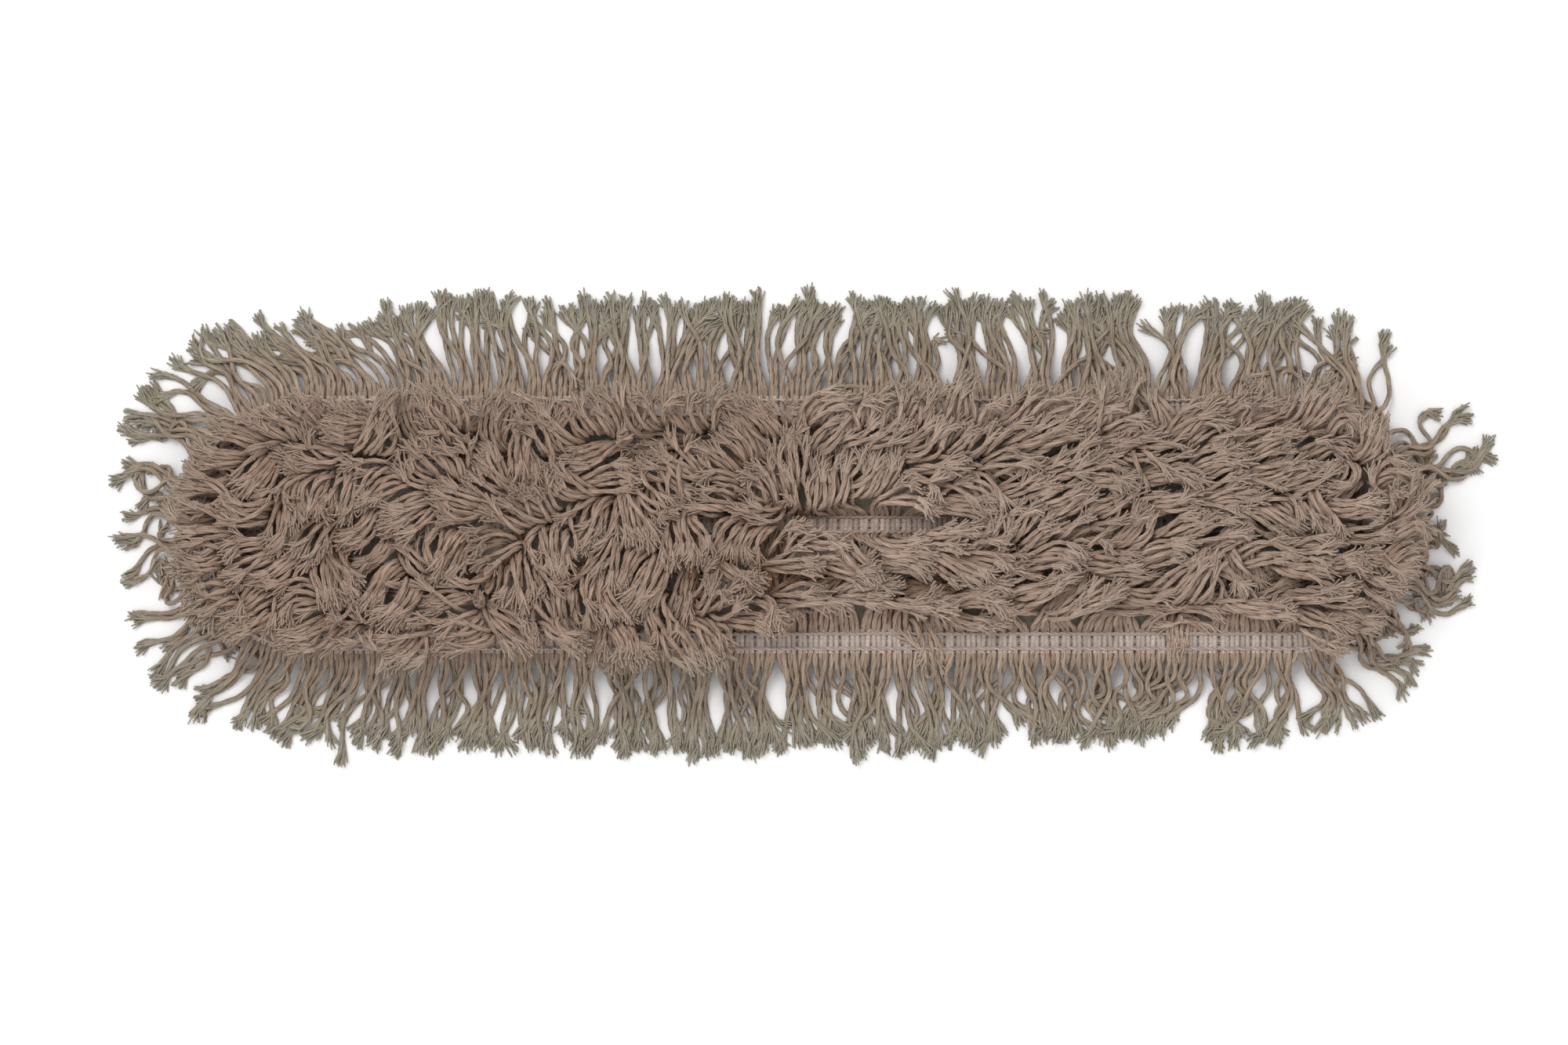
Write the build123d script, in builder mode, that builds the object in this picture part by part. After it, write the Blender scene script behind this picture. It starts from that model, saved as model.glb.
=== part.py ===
from build123d import *
import os
from math import atan2, cos, degrees, hypot, pi, radians, sin, tan, tanh

os.makedirs("parts", exist_ok=True)

# A cut-end cotton dust mop head, lying on its two pockets with the yarn side up.
# X runs along the head, Y across it and Z up. The origin is on the floor under its middle.

# Backing canvas: a stadium of the nominal 24 in by 5 in size
canvas_length = 610.0
canvas_width = 127.0
canvas_thickness = 1.6

# Tape folded over the edge of the canvas, and the same tape over the pocket mouths
tape_thickness = 0.6
tape_lap_margin = 0.3
hem_lap = 12.0

# Pockets that the ends of a wire mop frame slide into
pocket_cloth = 1.2
pocket_depth = 185.0
pocket_clear_height = 9.0
pocket_flange = 5.0
pocket_flange_gap = 0.6
pocket_wall_run = 9.0
pocket_bend = 2.4
bar_tack_length = 10.0
bar_tack_width = 2.4
bar_tack_height = 0.8
bar_tack_setback = 6.0

# Crocheted headers that hold the yarn: an outer loop, a middle loop and a centre strip
header_width = 10.4
header_height = 3.0
header_setback = 0.8
root_width = 1.6

# Chain threads on the headers and the rows of sewing under the canvas
thread_width = 0.8
thread_height = 0.5
chain_offset = 3.1
edge_seam_inset = 2.5

# Yarn tufts that stand up from the headers, each a bunch of about four cut legs
root_margin = 0.25
pile_pitch = 20.0
pile_end_pitch = 22.0
pile_gap = 7.0
pile_end_gap = 4.0
pile_clearance = 4.0
pile_root_width = 6.0
pile_tip_depth = 4.2
pile_taper = 1.0
pile_rise = 20.8
pile_rise_wave = 1.0
pile_lean = 20.0
pile_parting = -110.0
pile_parting_width = 90.0
pile_fade = 80.0

# Yarn tufts that lie out round the edge as the fringe
fringe_pitch = 13.4
fringe_end_pitch = 10.8
fringe_gap = 4.6
fringe_root_width = 5.8
fringe_root_depth = 1.6
fringe_depth = 3.2
fringe_tip_depth = 2.6
fringe_tip_height = 2.2
fringe_reach = 57.4
fringe_end_curl = 14.2
fringe_length_wave = 3.0
fringe_sway = 4.0
fringe_wave_length = 170.0

# Heights, from the floor up
pocket_bottom = tape_thickness
pocket_inside = pocket_bottom + pocket_cloth
canvas_bottom = pocket_inside + pocket_clear_height
canvas_top = canvas_bottom + canvas_thickness
flange_bottom = canvas_bottom - pocket_cloth
tape_bottom = canvas_bottom - tape_thickness
outer_floor = canvas_top + tape_thickness
inner_floor = canvas_top

# Distances in from the canvas edge
half_width = canvas_width / 2
straight_half = (canvas_length - canvas_width) / 2
outer_row = header_setback + header_width / 2
row_pitch = (half_width - outer_row) / 2
middle_row = outer_row + row_pitch
centre_row = half_width
tape_lap = header_setback + header_width + tape_lap_margin
flange_inset = tape_lap + pocket_flange_gap
seam_inset = flange_inset + pocket_flange
core_half = header_width / 2 - root_width
root_offset = core_half + root_width / 2
mouth_x = canvas_length / 2 - seam_inset - pocket_depth

# Sections of the tufts, from the root to the cut end, as shares of the whole tuft
pile_levels = (0.0, 0.5, 1.0)
pile_lean_shares = (0.0, 0.25, 1.0)
pile_tip_width = pile_pitch - pile_gap
pile_root_depth = root_width - 2 * root_margin
pile_spread = (root_width + row_pitch - header_width - pile_clearance - pile_tip_depth) / 2
fringe_levels = (0.0, 0.45, 1.0)
fringe_drop_shares = (0.0, 0.5, 1.0)
fringe_tip_width = fringe_pitch - fringe_gap
fringe_depths = (fringe_root_depth, fringe_depth, fringe_tip_depth)
fringe_root_height = header_height - root_margin - fringe_root_depth / 2

up = Vector(0, 0, 1)
sides = (("front", -1), ("back", 1))
ends = (("left", -1), ("right", 1))
quarter_turn = 90.0
end_stretches = ("front", "end", "back")
end_sweep = 2 * quarter_turn / len(end_stretches)


def outline(inset, mode=Mode.ADD):
    # The stadium that runs this far inside the canvas edge
    return SlotOverall(canvas_length - 2 * inset, canvas_width - 2 * inset, mode=mode)


def band(outer_inset, inner_inset):
    # The strip of a sketch between two such stadiums
    outline(outer_inset)
    outline(inner_inset, mode=Mode.SUBTRACT)


# Backing canvas
with BuildPart() as backing_canvas:
    with BuildSketch(Plane.XY.offset(canvas_bottom)):
        outline(0)
    extrude(amount=canvas_thickness)
backing_canvas.part.label = "backing_canvas"
export_step(backing_canvas.part, "parts/backing_canvas.step")

# Edge tape, a U round the whole rim, as wide on top as the outer header that it carries
with BuildPart() as edge_tape:
    with BuildSketch(Plane.XY.offset(tape_bottom)):
        band(-tape_thickness, tape_lap)
    extrude(amount=canvas_thickness + 2 * tape_thickness)
    add(backing_canvas.part, mode=Mode.SUBTRACT)
edge_tape.part.label = "edge_tape"
export_step(edge_tape.part, "parts/edge_tape.step")


def tray(grow):
    # The pocket's outer face moved outwards by grow, as a solid that runs the whole head
    rise = canvas_bottom - pocket_bottom
    slant = hypot(pocket_wall_run, rise)
    turn = atan2(rise, pocket_wall_run)
    with BuildPart() as body:
        with BuildSketch(Plane.XY.offset(canvas_bottom)):
            outline(seam_inset - grow * slant / rise)
        extrude(amount=-rise - grow, taper=90 - degrees(turn))
        # A bend of two creases, set back so that the cloth keeps its thickness round it
        setback = pocket_bend + grow * tan(turn / 4) / cos(turn / 2)
        chamfer(body.edges().group_by(Axis.Z)[0], setback)
    return body.part


# Pockets: a flange sewn to the canvas, sloping walls and a flat bottom, open at the mouth
pocket_outside = tray(0)
pocket_cavity = tray(-pocket_cloth)
with BuildPart() as pocket_left:
    add(pocket_outside)
    with BuildSketch(Plane.XY.offset(flange_bottom)):
        outline(flange_inset)
    extrude(amount=pocket_cloth)
    add(pocket_cavity, mode=Mode.SUBTRACT)
    split(bisect_by=Plane.YZ.offset(-mouth_x), keep=Keep.BOTTOM)
pocket_left.part.label = "pocket_left"
export_step(pocket_left.part, "parts/pocket_left.step")

with BuildPart() as pocket_right:
    mirror(pocket_left.part, about=Plane.YZ)
pocket_right.part.label = "pocket_right"
export_step(pocket_right.part, "parts/pocket_right.step")

# Pocket hems: the tape folded over the free edge of each mouth
hem_outside = tray(tape_thickness)
hem_cavity = tray(-pocket_cloth - tape_thickness)
with BuildPart() as pocket_hem_left:
    with BuildSketch(Plane.XY):
        with Locations((-mouth_x + tape_thickness, 0)):
            Rectangle(hem_lap + tape_thickness, canvas_width, align=(Align.MAX, Align.CENTER))
    extrude(amount=flange_bottom)
    add(hem_outside, mode=Mode.INTERSECT)
    add(hem_cavity, mode=Mode.SUBTRACT)
    add(pocket_left.part, mode=Mode.SUBTRACT)
pocket_hem_left.part.label = "pocket_hem_left"
export_step(pocket_hem_left.part, "parts/pocket_hem_left.step")

with BuildPart() as pocket_hem_right:
    mirror(pocket_hem_left.part, about=Plane.YZ)
pocket_hem_right.part.label = "pocket_hem_right"
export_step(pocket_hem_right.part, "parts/pocket_hem_right.step")

# Bar tacks that lock the flange beside each corner of the mouths
flange_middle = half_width - flange_inset - pocket_flange / 2
with BuildPart() as pocket_bar_tacks:
    with BuildSketch(Plane.XY.offset(flange_bottom)):
        with GridLocations(2 * (mouth_x + bar_tack_setback), 2 * flange_middle, 2, 2):
            Rectangle(bar_tack_length, bar_tack_width)
    extrude(amount=-bar_tack_height)
pocket_bar_tacks.part.label = "pocket_bar_tacks"
export_step(pocket_bar_tacks.part, "parts/pocket_bar_tacks.step")

# Pocket seams: one thread along each flange, from bar tack to bar tack round the closed end
seam_start = mouth_x + bar_tack_setback + bar_tack_length / 2
seam_middle = flange_inset + pocket_flange / 2
for name, end in ends:
    with BuildPart() as pocket_seam:
        with BuildSketch(Plane.XY.offset(flange_bottom)):
            band(seam_middle - thread_width / 2, seam_middle + thread_width / 2)
            with Locations((end * (seam_start + canvas_length / 2), 0)):
                Rectangle(canvas_length, canvas_width, mode=Mode.INTERSECT)
        extrude(amount=-thread_height)
    pocket_seam.part.label = f"pocket_seam_{name}"
    export_step(pocket_seam.part, f"parts/pocket_seam_{name}.step")

# Edge seam: the thread that closes the edge tape, seen on the underside
edge_seam_row = tape_lap - edge_seam_inset
with BuildPart() as edge_seam:
    with BuildSketch(Plane.XY.offset(tape_bottom)):
        band(edge_seam_row - thread_width / 2, edge_seam_row + thread_width / 2)
    extrude(amount=-thread_height)
edge_seam.part.label = "edge_seam"
export_step(edge_seam.part, "parts/edge_seam.step")


def thread_rows(row, offsets):
    # Threads of a sketch that follow a row at these distances from its middle, outer one first
    for offset in offsets:
        if row == centre_row:
            with Locations((0, offset)):
                Rectangle(2 * straight_half, thread_width)
        else:
            band(row + offset - thread_width / 2, row + offset + thread_width / 2)


# Headers, the two chain threads on each and the row of sewing under the canvas
rows = {
    "outer": (outer_row, outer_floor, tape_bottom),
    "middle": (middle_row, inner_floor, canvas_bottom),
    "centre": (centre_row, inner_floor, canvas_bottom),
}
for name, (inset, floor, underside) in rows.items():
    with BuildPart() as header:
        with BuildSketch(Plane.XY.offset(floor)):
            outline(inset - core_half)
            if inset != centre_row:
                outline(inset + core_half, mode=Mode.SUBTRACT)
        extrude(amount=header_height)
    header.part.label = f"{name}_header"
    export_step(header.part, f"parts/{name}_header.step")

    with BuildPart() as chain:
        with BuildSketch(Plane.XY.offset(floor + header_height)):
            thread_rows(inset, (-chain_offset, chain_offset))
        extrude(amount=thread_height)
    chain.part.label = f"{name}_chain"
    export_step(chain.part, f"parts/{name}_chain.step")

    with BuildPart() as row_seam:
        with BuildSketch(Plane.XY.offset(underside)):
            thread_rows(inset, (0,))
        extrude(amount=-thread_height)
    row_seam.part.label = f"{name}_row_seam"
    export_step(row_seam.part, f"parts/{name}_row_seam.step")


def straight_feet(inset, side, pitch):
    # Feet along one long side, from left to right: place, way along and way out
    count = round(2 * straight_half / pitch)
    step = 2 * straight_half / count
    for i in range(count):
        x = -straight_half + (i + 0.5) * step
        yield Vector(x, side * (half_width - inset)), Vector(1, 0), Vector(0, side)


def end_count(inset, sweep, pitch):
    # How many feet there are round part of one end
    return max(1, round(radians(abs(sweep)) * (half_width - inset) / pitch))


def end_feet(inset, end, first, sweep, pitch):
    # Feet round part of one end, by the angle from the long axis
    radius = half_width - inset
    count = end_count(inset, sweep, pitch)
    for i in range(count):
        angle = radians(first + (i + 0.5) * sweep / count)
        out = Vector(end * cos(angle), sin(angle))
        along = Vector(-end * sin(angle), cos(angle))
        yield Vector(end * straight_half, 0) + out * radius, along, out


def bunch(root, forward, views):
    # A bunch of legs as the common part of two views of it. Each view is a strip that runs forward
    # from the root, given by how far its middle is to the side, its width and its distance on.
    with BuildPart() as legs:
        for (across, stations), mode in zip(views, (Mode.ADD, Mode.INTERSECT)):
            with BuildSketch(Plane(root, x_dir=across, z_dir=across.cross(forward))):
                with BuildLine():
                    near = [(middle - width / 2, run) for middle, width, run in stations]
                    far = [(middle + width / 2, run) for middle, width, run in stations]
                    Polyline(*near, *reversed(far), close=True)
                make_face()
            extrude(amount=canvas_width, both=True, mode=mode)
    return legs.part


def pile_end_width(inset, face):
    # How wide a tip can be where the row turns: the room between its neighbours, less their gap
    near = half_width - inset - face * pile_spread - pile_tip_depth / 2
    half_turn = radians(quarter_turn / end_count(inset, quarter_turn, pile_end_pitch) / 2)
    return 2 * near * tan(half_turn) - pile_end_gap


def pile_tuft(foot, along, out, floor, tip_width, lean, rise):
    # A bunch that rises from the root band, spreads off the header and leans along it
    widths = (pile_root_width, tip_width - pile_taper, tip_width)
    heights = [level * rise for level in pile_levels]
    leans = [share * lean for share in pile_lean_shares]
    views = (
        (along, list(zip(leans, widths, heights))),
        (out, [(0, pile_root_depth, 0), (pile_spread, pile_tip_depth, rise)]),
    )
    return bunch(foot + up * (floor + header_height - root_margin), up, views)


def fringe_tuft(foot, along, out, reach, sway):
    # A bunch that clears the edge tape, droops to the floor and flares at its cut end
    base = outer_floor + fringe_root_height
    runs = [level * reach for level in fringe_levels]
    drops = [-share * (base - fringe_tip_height) for share in fringe_drop_shares]
    views = (
        (along, [(0, fringe_root_width, 0), (sway, fringe_tip_width, reach)]),
        (up, list(zip(drops, fringe_depths, runs))),
    )
    return bunch(foot + up * base, out, views)


def wave(x):
    # A slow sway along the head
    return sin(2 * pi * x / fringe_wave_length)


def pile_lean_at(x):
    # Combed away from the parting, and upright again where the rows turn
    fade = min(1.0, max(0.0, (straight_half - abs(x)) / pile_fade))
    return pile_lean * fade * tanh((x - pile_parting) / pile_parting_width)


def half_plan(length, side):
    # The half of the plan on one side of the long axis
    with BuildSketch() as area:
        with Locations((0, side * canvas_width / 2)):
            Rectangle(length, canvas_width)
    return area.sketch


def sector_plan(end, first, sweep):
    # A slice of the plan at one end, by the angle from the long axis
    far = canvas_width
    corners = [(end * straight_half, 0)]
    for angle in (radians(first), radians(first + sweep)):
        corners.append((end * (straight_half + far * cos(angle)), far * sin(angle)))
    with BuildSketch() as area:
        with BuildLine():
            Polyline(*corners, close=True)
        make_face()
    return area.sketch


def write_yarn(name, outer_inset, inner_inset, floor, area, tufts):
    # The root band of one stretch of a header, with its tufts fused to it
    with BuildPart() as yarn:
        with BuildSketch(Plane.XY.offset(floor)):
            band(outer_inset, inner_inset)
            add(area, mode=Mode.INTERSECT)
        extrude(amount=header_height)
        add(tufts)
    yarn.part.label = name
    export_step(yarn.part, f"parts/{name}.step")
    return len(tufts)


tuft_count = 0

# Fringe: the legs of the outer header that lie outwards
fringe_edges = (outer_row - header_width / 2, outer_row - core_half)
fringe_root = outer_row - root_offset
for name, side in sides:
    tufts = [
        fringe_tuft(
            foot, along, out,
            fringe_reach - fringe_length_wave * (1 + wave(2 * foot.X)) / 2,
            fringe_sway * wave(foot.X),
        )
        for foot, along, out in straight_feet(fringe_root, side, fringe_pitch)
    ]
    area = half_plan(2 * straight_half, side)
    tuft_count += write_yarn(f"fringe_{name}", *fringe_edges, outer_floor, area, tufts)
for name, end in ends:
    for i, stretch in enumerate(end_stretches):
        first = -quarter_turn + i * end_sweep
        tufts = [
            fringe_tuft(foot, along, out, fringe_reach - fringe_end_curl * out.X**4, 0)
            for foot, along, out in end_feet(fringe_root, end, first, end_sweep, fringe_end_pitch)
        ]
        area = sector_plan(end, first, end_sweep)
        tuft_count += write_yarn(f"fringe_{name}_{stretch}", *fringe_edges, outer_floor, area, tufts)

# Pile: the standing legs of each header, by the row and which way they lie from it (1 is inwards)
piles = {
    "outer_pile_inside": ("outer", 1),
    "middle_pile_outside": ("middle", -1),
    "middle_pile_inside": ("middle", 1),
    "centre_pile": ("centre", -1),
}
for pile, (row, face) in piles.items():
    inset, floor, _ = rows[row]
    edges = sorted((inset + face * core_half, inset + face * header_width / 2))
    root = inset + face * root_offset
    for name, side in sides:
        tufts = [
            pile_tuft(
                foot, along, out * -face, floor, pile_tip_width, pile_lean_at(foot.X),
                pile_rise + pile_rise_wave * wave(foot.X),
            )
            for foot, along, out in straight_feet(root, side, pile_pitch)
        ]
        tufts += [
            pile_tuft(foot, along, out * -face, floor, pile_end_width(root, face), 0, pile_rise)
            for _, end in ends
            for foot, along, out in end_feet(root, end, 0, side * quarter_turn, pile_end_pitch)
        ]
        area = half_plan(canvas_length, side)
        tuft_count += write_yarn(f"{pile}_{name}", *edges, floor, area, tufts)

print("tufts of yarn:", tuft_count)
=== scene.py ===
import math

import bmesh
import bpy
import numpy as np
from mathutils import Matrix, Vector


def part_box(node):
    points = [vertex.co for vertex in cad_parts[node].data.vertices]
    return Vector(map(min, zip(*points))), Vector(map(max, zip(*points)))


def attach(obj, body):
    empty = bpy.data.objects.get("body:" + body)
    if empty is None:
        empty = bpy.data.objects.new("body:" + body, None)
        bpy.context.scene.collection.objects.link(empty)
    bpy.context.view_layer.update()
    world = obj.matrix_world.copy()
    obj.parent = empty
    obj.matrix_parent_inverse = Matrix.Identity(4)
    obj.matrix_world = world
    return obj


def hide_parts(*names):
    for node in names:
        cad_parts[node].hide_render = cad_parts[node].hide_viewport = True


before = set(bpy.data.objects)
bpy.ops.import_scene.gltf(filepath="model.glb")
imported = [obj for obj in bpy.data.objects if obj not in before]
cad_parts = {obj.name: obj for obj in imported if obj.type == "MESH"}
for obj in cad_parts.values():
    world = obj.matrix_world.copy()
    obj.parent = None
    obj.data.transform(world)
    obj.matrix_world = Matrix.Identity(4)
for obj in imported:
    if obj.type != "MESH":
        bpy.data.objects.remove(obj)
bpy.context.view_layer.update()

mm = 0.001  # the sums below are in millimetres


# Sizes of the sewn head, read from the frame
def boxOf(node):
    return [np.array(corner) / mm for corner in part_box(node)]


canvasLow, canvasHigh = boxOf("backing_canvas")
canvasBottom, canvasTop = canvasLow[2], canvasHigh[2]
halfWidth = canvasHigh[1]
straightHalf = canvasHigh[0] - halfWidth
seamHalf = boxOf("centre_row_seam")[1][1]
header = {"half": 5.2, "setback": 0.8, "bareSetback": 0.2}


def rowOf(name):
    low, high = boxOf(name + "_header")
    radius = boxOf(name + "_row_seam")[1][1] - seamHalf
    return {"radius": radius, "floor": low[2], "top": high[2]}


rows = {name: rowOf(name) for name in ("outer", "middle", "centre")}

# Where a photo pixel lies on the head
photo = {"scale": 2.59, "middle": (1022, 669)}


def xAt(px):
    return (px - photo["middle"][0]) / photo["scale"]


def fromPhoto(px, py):
    return np.array([xAt(px), (photo["middle"][1] - py) / photo["scale"]])


def pixelAt(x):
    return x * photo["scale"] + photo["middle"][0]


def wayOf(degrees):
    return np.array([math.cos(math.radians(degrees)), math.sin(math.radians(degrees))])


def ease(share):
    share = np.clip(share, 0, 1)
    return share * share * (3 - 2 * share)


def unit(vectors):
    return vectors / (np.linalg.norm(vectors, axis=-1, keepdims=True) + 1e-9)


# How far a place is from the line along the middle of the head
def axisDistance(x, y):
    return np.hypot(np.maximum(np.abs(x) - straightHalf, 0), y)


yarn = {
    "pitch": 2.6,
    "pairing": 0.25,
    "leg": 52.5,
    "legSpread": 3.6,
    "bunch": (2, 8),
    "pileLeg": 42.0,
    "pileSpread": 4.2,
    "pileBunch": (6, 14),
    "rootHeight": 1.7,
    "radius": 1.45,
    "gap": 2.45,
    "joints": 20,
    "seed": 11,
}
rng = np.random.default_rng(yarn["seed"])


# Places along a row, and which way is out of it there
def alongRow(radius, count, shift=0.0):
    straight = 2 * straightHalf
    turn = math.pi * radius
    total = 2 * (straight + turn)
    run = ((np.arange(count) + 0.5) * total / count + shift) % total
    stretches = [run < straight, run < straight + turn, run < 2 * straight + turn]
    bend = max(radius, 1e-6)
    angle = np.select(
        stretches,
        [-math.pi / 2, -math.pi / 2 + (run - straight) / bend, math.pi / 2],
        math.pi / 2 + (run - 2 * straight - turn) / bend,
    )
    middle = np.select(
        stretches,
        [run - straightHalf, straightHalf, straightHalf - (run - straight - turn)],
        -straightHalf,
    )
    out = np.stack([np.cos(angle), np.sin(angle)], 1)
    return np.stack([middle, np.zeros(count)], 1) + out * radius, out


# The same along the centre row, which is a straight strip
def alongStrip(x):
    return np.stack([x, np.zeros(len(x))], 1), np.tile([0.0, 1.0], (len(x), 1))


def loopLength(radius):
    return 4 * straightHalf + 2 * math.pi * radius


def loopLine(radius, spacing):
    return alongRow(radius, round(loopLength(radius) / spacing))


def rowLine(name, spacing):
    if name != "centre":
        return loopLine(rows[name]["radius"], spacing)
    return alongStrip(np.linspace(-straightHalf, straightHalf, round(2 * straightHalf / spacing)))


# Where each yarn crosses a header: the yarns lie in pairs
def rowFeet(name):
    run = 2 * straightHalf if name == "centre" else loopLength(rows[name]["radius"])
    count = 2 * round(run / yarn["pitch"] / 2)
    shift = np.where(np.arange(count) % 2, -yarn["pairing"], yarn["pairing"])
    if name != "centre":
        return alongRow(rows[name]["radius"], count, shift)
    x = -straightHalf + (np.arange(count) + 0.5) * 2 * straightHalf / count
    return alongStrip(x + shift)


# How far the yarn can sink at a place: floor, canvas and headers, with soft steps between them
footing = {"rim": 5.0, "shoulder": 1.5, "sink": 0.6}


def groundAt(x, y):
    fromAxis = axisDistance(x, y)
    ground = np.clip((halfWidth + footing["rim"] - fromAxis) / footing["rim"], 0, 1) * canvasTop
    for row in rows.values():
        over = header["half"] + footing["shoulder"] - np.abs(fromAxis - row["radius"])
        near = np.clip(over / footing["shoulder"], 0, 1)
        ground = np.maximum(ground, near * (row["top"] - footing["sink"]))
    return ground


# Ways that the pile was combed: photo pixel at the middle of a tuft, and its way in degrees
pileStrokes = [
    (1040, 530, 40), (1110, 545, 30), (1180, 530, 45), (1240, 520, 50), (1230, 560, -5), (1175, 575, -22),
    (1300, 550, 12), (1345, 562, -8), (1400, 540, -8), (1380, 565, -5), (1480, 530, 55), (1540, 520, 52),
    (1590, 520, 22), (1645, 512, 28), (1675, 525, 48), (1100, 615, 42), (1160, 612, 32), (1225, 645, -42),
    (1300, 620, 14), (1340, 610, 18), (1480, 605, 10), (1560, 592, 12), (1520, 640, -10), (1580, 625, -10),
    (1590, 662, -30), (1430, 620, -80), (1130, 690, 8), (1150, 722, -40), (1050, 720, 14), (1200, 708, 0),
    (1300, 680, 50), (1360, 672, 54), (1425, 668, 58), (1480, 672, 30), (1540, 680, 12), (1620, 670, 30),
    (1665, 692, -6), (1280, 738, 22), (1380, 728, 45), (1425, 740, 10), (1490, 722, 22), (1535, 732, 20),
    (1580, 722, -30), (1630, 735, -75), (1660, 712, -30), (1090, 768, 42), (1180, 778, 14), (1290, 770, 12),
    (1400, 770, 4), (1475, 775, 6), (1555, 770, 12), (1610, 772, 22), (1690, 555, -10), (1722, 580, -60),
    (1700, 612, 0), (1745, 560, -6), (1770, 620, -70), (1705, 690, -10), (1700, 722, -12), (1700, 770, 18),
    (1755, 745, -32), (1770, 665, -50),
    (250, 560, 195), (200, 565, 205), (330, 570, 215), (260, 620, 170), (222, 625, 255), (330, 655, 158),
    (372, 640, -80), (285, 720, 222), (300, 762, 192), (332, 800, 255), (382, 768, 190), (420, 722, 240),
    (445, 762, 250), (462, 712, 258), (400, 805, 268), (395, 520, 122), (335, 525, 135), (290, 545, 155),
    (480, 525, 135), (345, 508, 125), (390, 500, 112), (435, 502, 105), (540, 540, 112), (570, 520, 115),
    (500, 580, 195), (515, 630, 184), (480, 660, 190), (580, 602, 148), (605, 642, 142), (645, 605, 128),
    (650, 640, 180), (685, 572, -86), (715, 612, 42), (733, 660, -90), (640, 562, -20), (555, 692, 180),
    (525, 722, 205), (610, 672, 140), (615, 722, -98), (660, 722, -96), (720, 722, -60), (530, 785, -112),
    (580, 790, -124), (640, 790, -110), (690, 792, -80), (722, 790, -40), (765, 800, -54), (500, 800, -96),
    (762, 545, 126), (772, 572, 160), (850, 532, 130), (882, 535, 125), (905, 562, 160), (932, 530, 114),
    (950, 575, 178), (845, 605, -60), (900, 605, 168), (930, 632, 172), (800, 662, -90), (832, 652, -80),
    (795, 722, 198), (842, 705, 230), (880, 700, -98), (940, 705, -14), (930, 740, -8), (940, 770, 0),
    (902, 772, -72), (870, 800, -40), (820, 822, -42), (915, 806, -62),
]
pileComb = {"reach": 36, "push": 2.5, "lead": 9.0}  # reach in pixels, lead in millimetres
# Hollows that the pile parts round: photo pixel, reach in pixels and strength
hollows = [
    (805, 590, 30, 1.25), (450, 585, 25, 1.0), (860, 640, 30, 1.0), (1345, 585, 25, 1.0),
    (1390, 612, 25, 1.0), (1465, 630, 25, 1.0), (1085, 668, 60, 2.0),
]
# Ways that the fringe lies, in the same form as the pile's
fringeStrokes = [
    (230, 510, 165), (250, 540, 178), (180, 565, 192), (300, 460, 166), (380, 465, 162), (450, 475, 154),
    (520, 460, 122), (600, 450, 108), (700, 440, 100), (1060, 450, 84), (1230, 450, 95), (1740, 500, 116),
    (1830, 590, 12), (1840, 740, 10), (1770, 830, -52), (250, 830, -150), (300, 870, -135),
    (380, 880, -122), (440, 890, -110), (560, 890, -100), (700, 890, -94), (860, 900, -88),
]
fringeComb = {"reach": 55, "push": 4.5, "lead": 15.0}
# Bundles that reach out at the right end, by photo pixel: the other legs there are tucked in
rightBundles = [(1795, 600), (1800, 735), (1755, 815), (1722, 540)]
# The front fringe is curled right of a photo pixel
curly = {"from": 1290, "wave": 1.2, "length": 0.94}
# Legs of the fringe that lie back over the head: photo pixel, way in degrees and curl in degrees
strays = [
    (1052, 500, -14, 20), (1345, 500, -20, 40), (1515, 500, -42, -30), (1600, 500, -8, 20),
    (1640, 500, -4, -40), (1770, 570, 150, 320), (700, 500, -60, 60), (1190, 815, 120, 50),
    (1480, 500, 60, 120), (1500, 500, 120, -140), (240, 600, 10, 60), (230, 750, 170, -120),
]


# A stroke acts on the legs whose roots lie behind its tuft
def strokeWays(strokes, comb, place, fallback):
    way = fallback.copy()
    for px, py, degrees in strokes:
        root = fromPhoto(px, py) - comb["lead"] * wayOf(degrees)
        far = ((place - root) ** 2).sum(1)
        weight = comb["push"] * np.exp(-far / (comb["reach"] / photo["scale"]) ** 2)
        way += weight[:, None] * wayOf(degrees)
    return way


def hollowWays(place, way):
    for px, py, reach, push in hollows:
        away = place - fromPhoto(px, py)
        far = np.hypot(*away.T)[:, None] + 1e-6
        way = way + push * np.exp(-((far * photo["scale"] / reach) ** 2)) * away / far
    return way


# The front header is bare between two photo pixels: the pile stops short of it
stop = {
    "from": 935, "to": 1660,
    "room": (  # millimetres by photo pixel
        (935, 4), (1050, 10), (1150, 11), (1210, 5), (1370, 4), (1420, 9), (1500, 10), (1560, 5), (1660, 5),
    ),
    "ownShare": 0.5, "ownOver": 0.25,  # the legs next to the header start in that room
    "ragged": 1.2, "hang": 4.0, "hangFrom": 0.6, "wave": 0.9, "waveLength": 5.0, "firm": 0.5,
}


def roomAt(x):
    pixels, room = np.array(stop["room"]).T
    return np.interp(pixelAt(x), pixels, room)


def besideBare(x, y):
    return (y < 0) & (x > xAt(stop["from"])) & (x < xAt(stop["to"]))


# Tufts that cross the bare header: photo pixel and way in degrees
crossingTufts = {"at": ((1172, -55), (1512, -110)), "reach": 6, "turn": 0.15}
# The pile parts over the centre header between two photo pixels, wider towards the top
parting = {
    "from": 1015, "to": 1215, "taper": 70, "middle": 1.6, "half": 4.2, "open": 0.06, "firm": 0.4, "most": 1,
}


def partingAt(x):
    pixel = pixelAt(x)
    inside = np.minimum(pixel - parting["from"], parting["to"] - pixel)
    return parting["half"] * ease(inside / parting["taper"])


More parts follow.
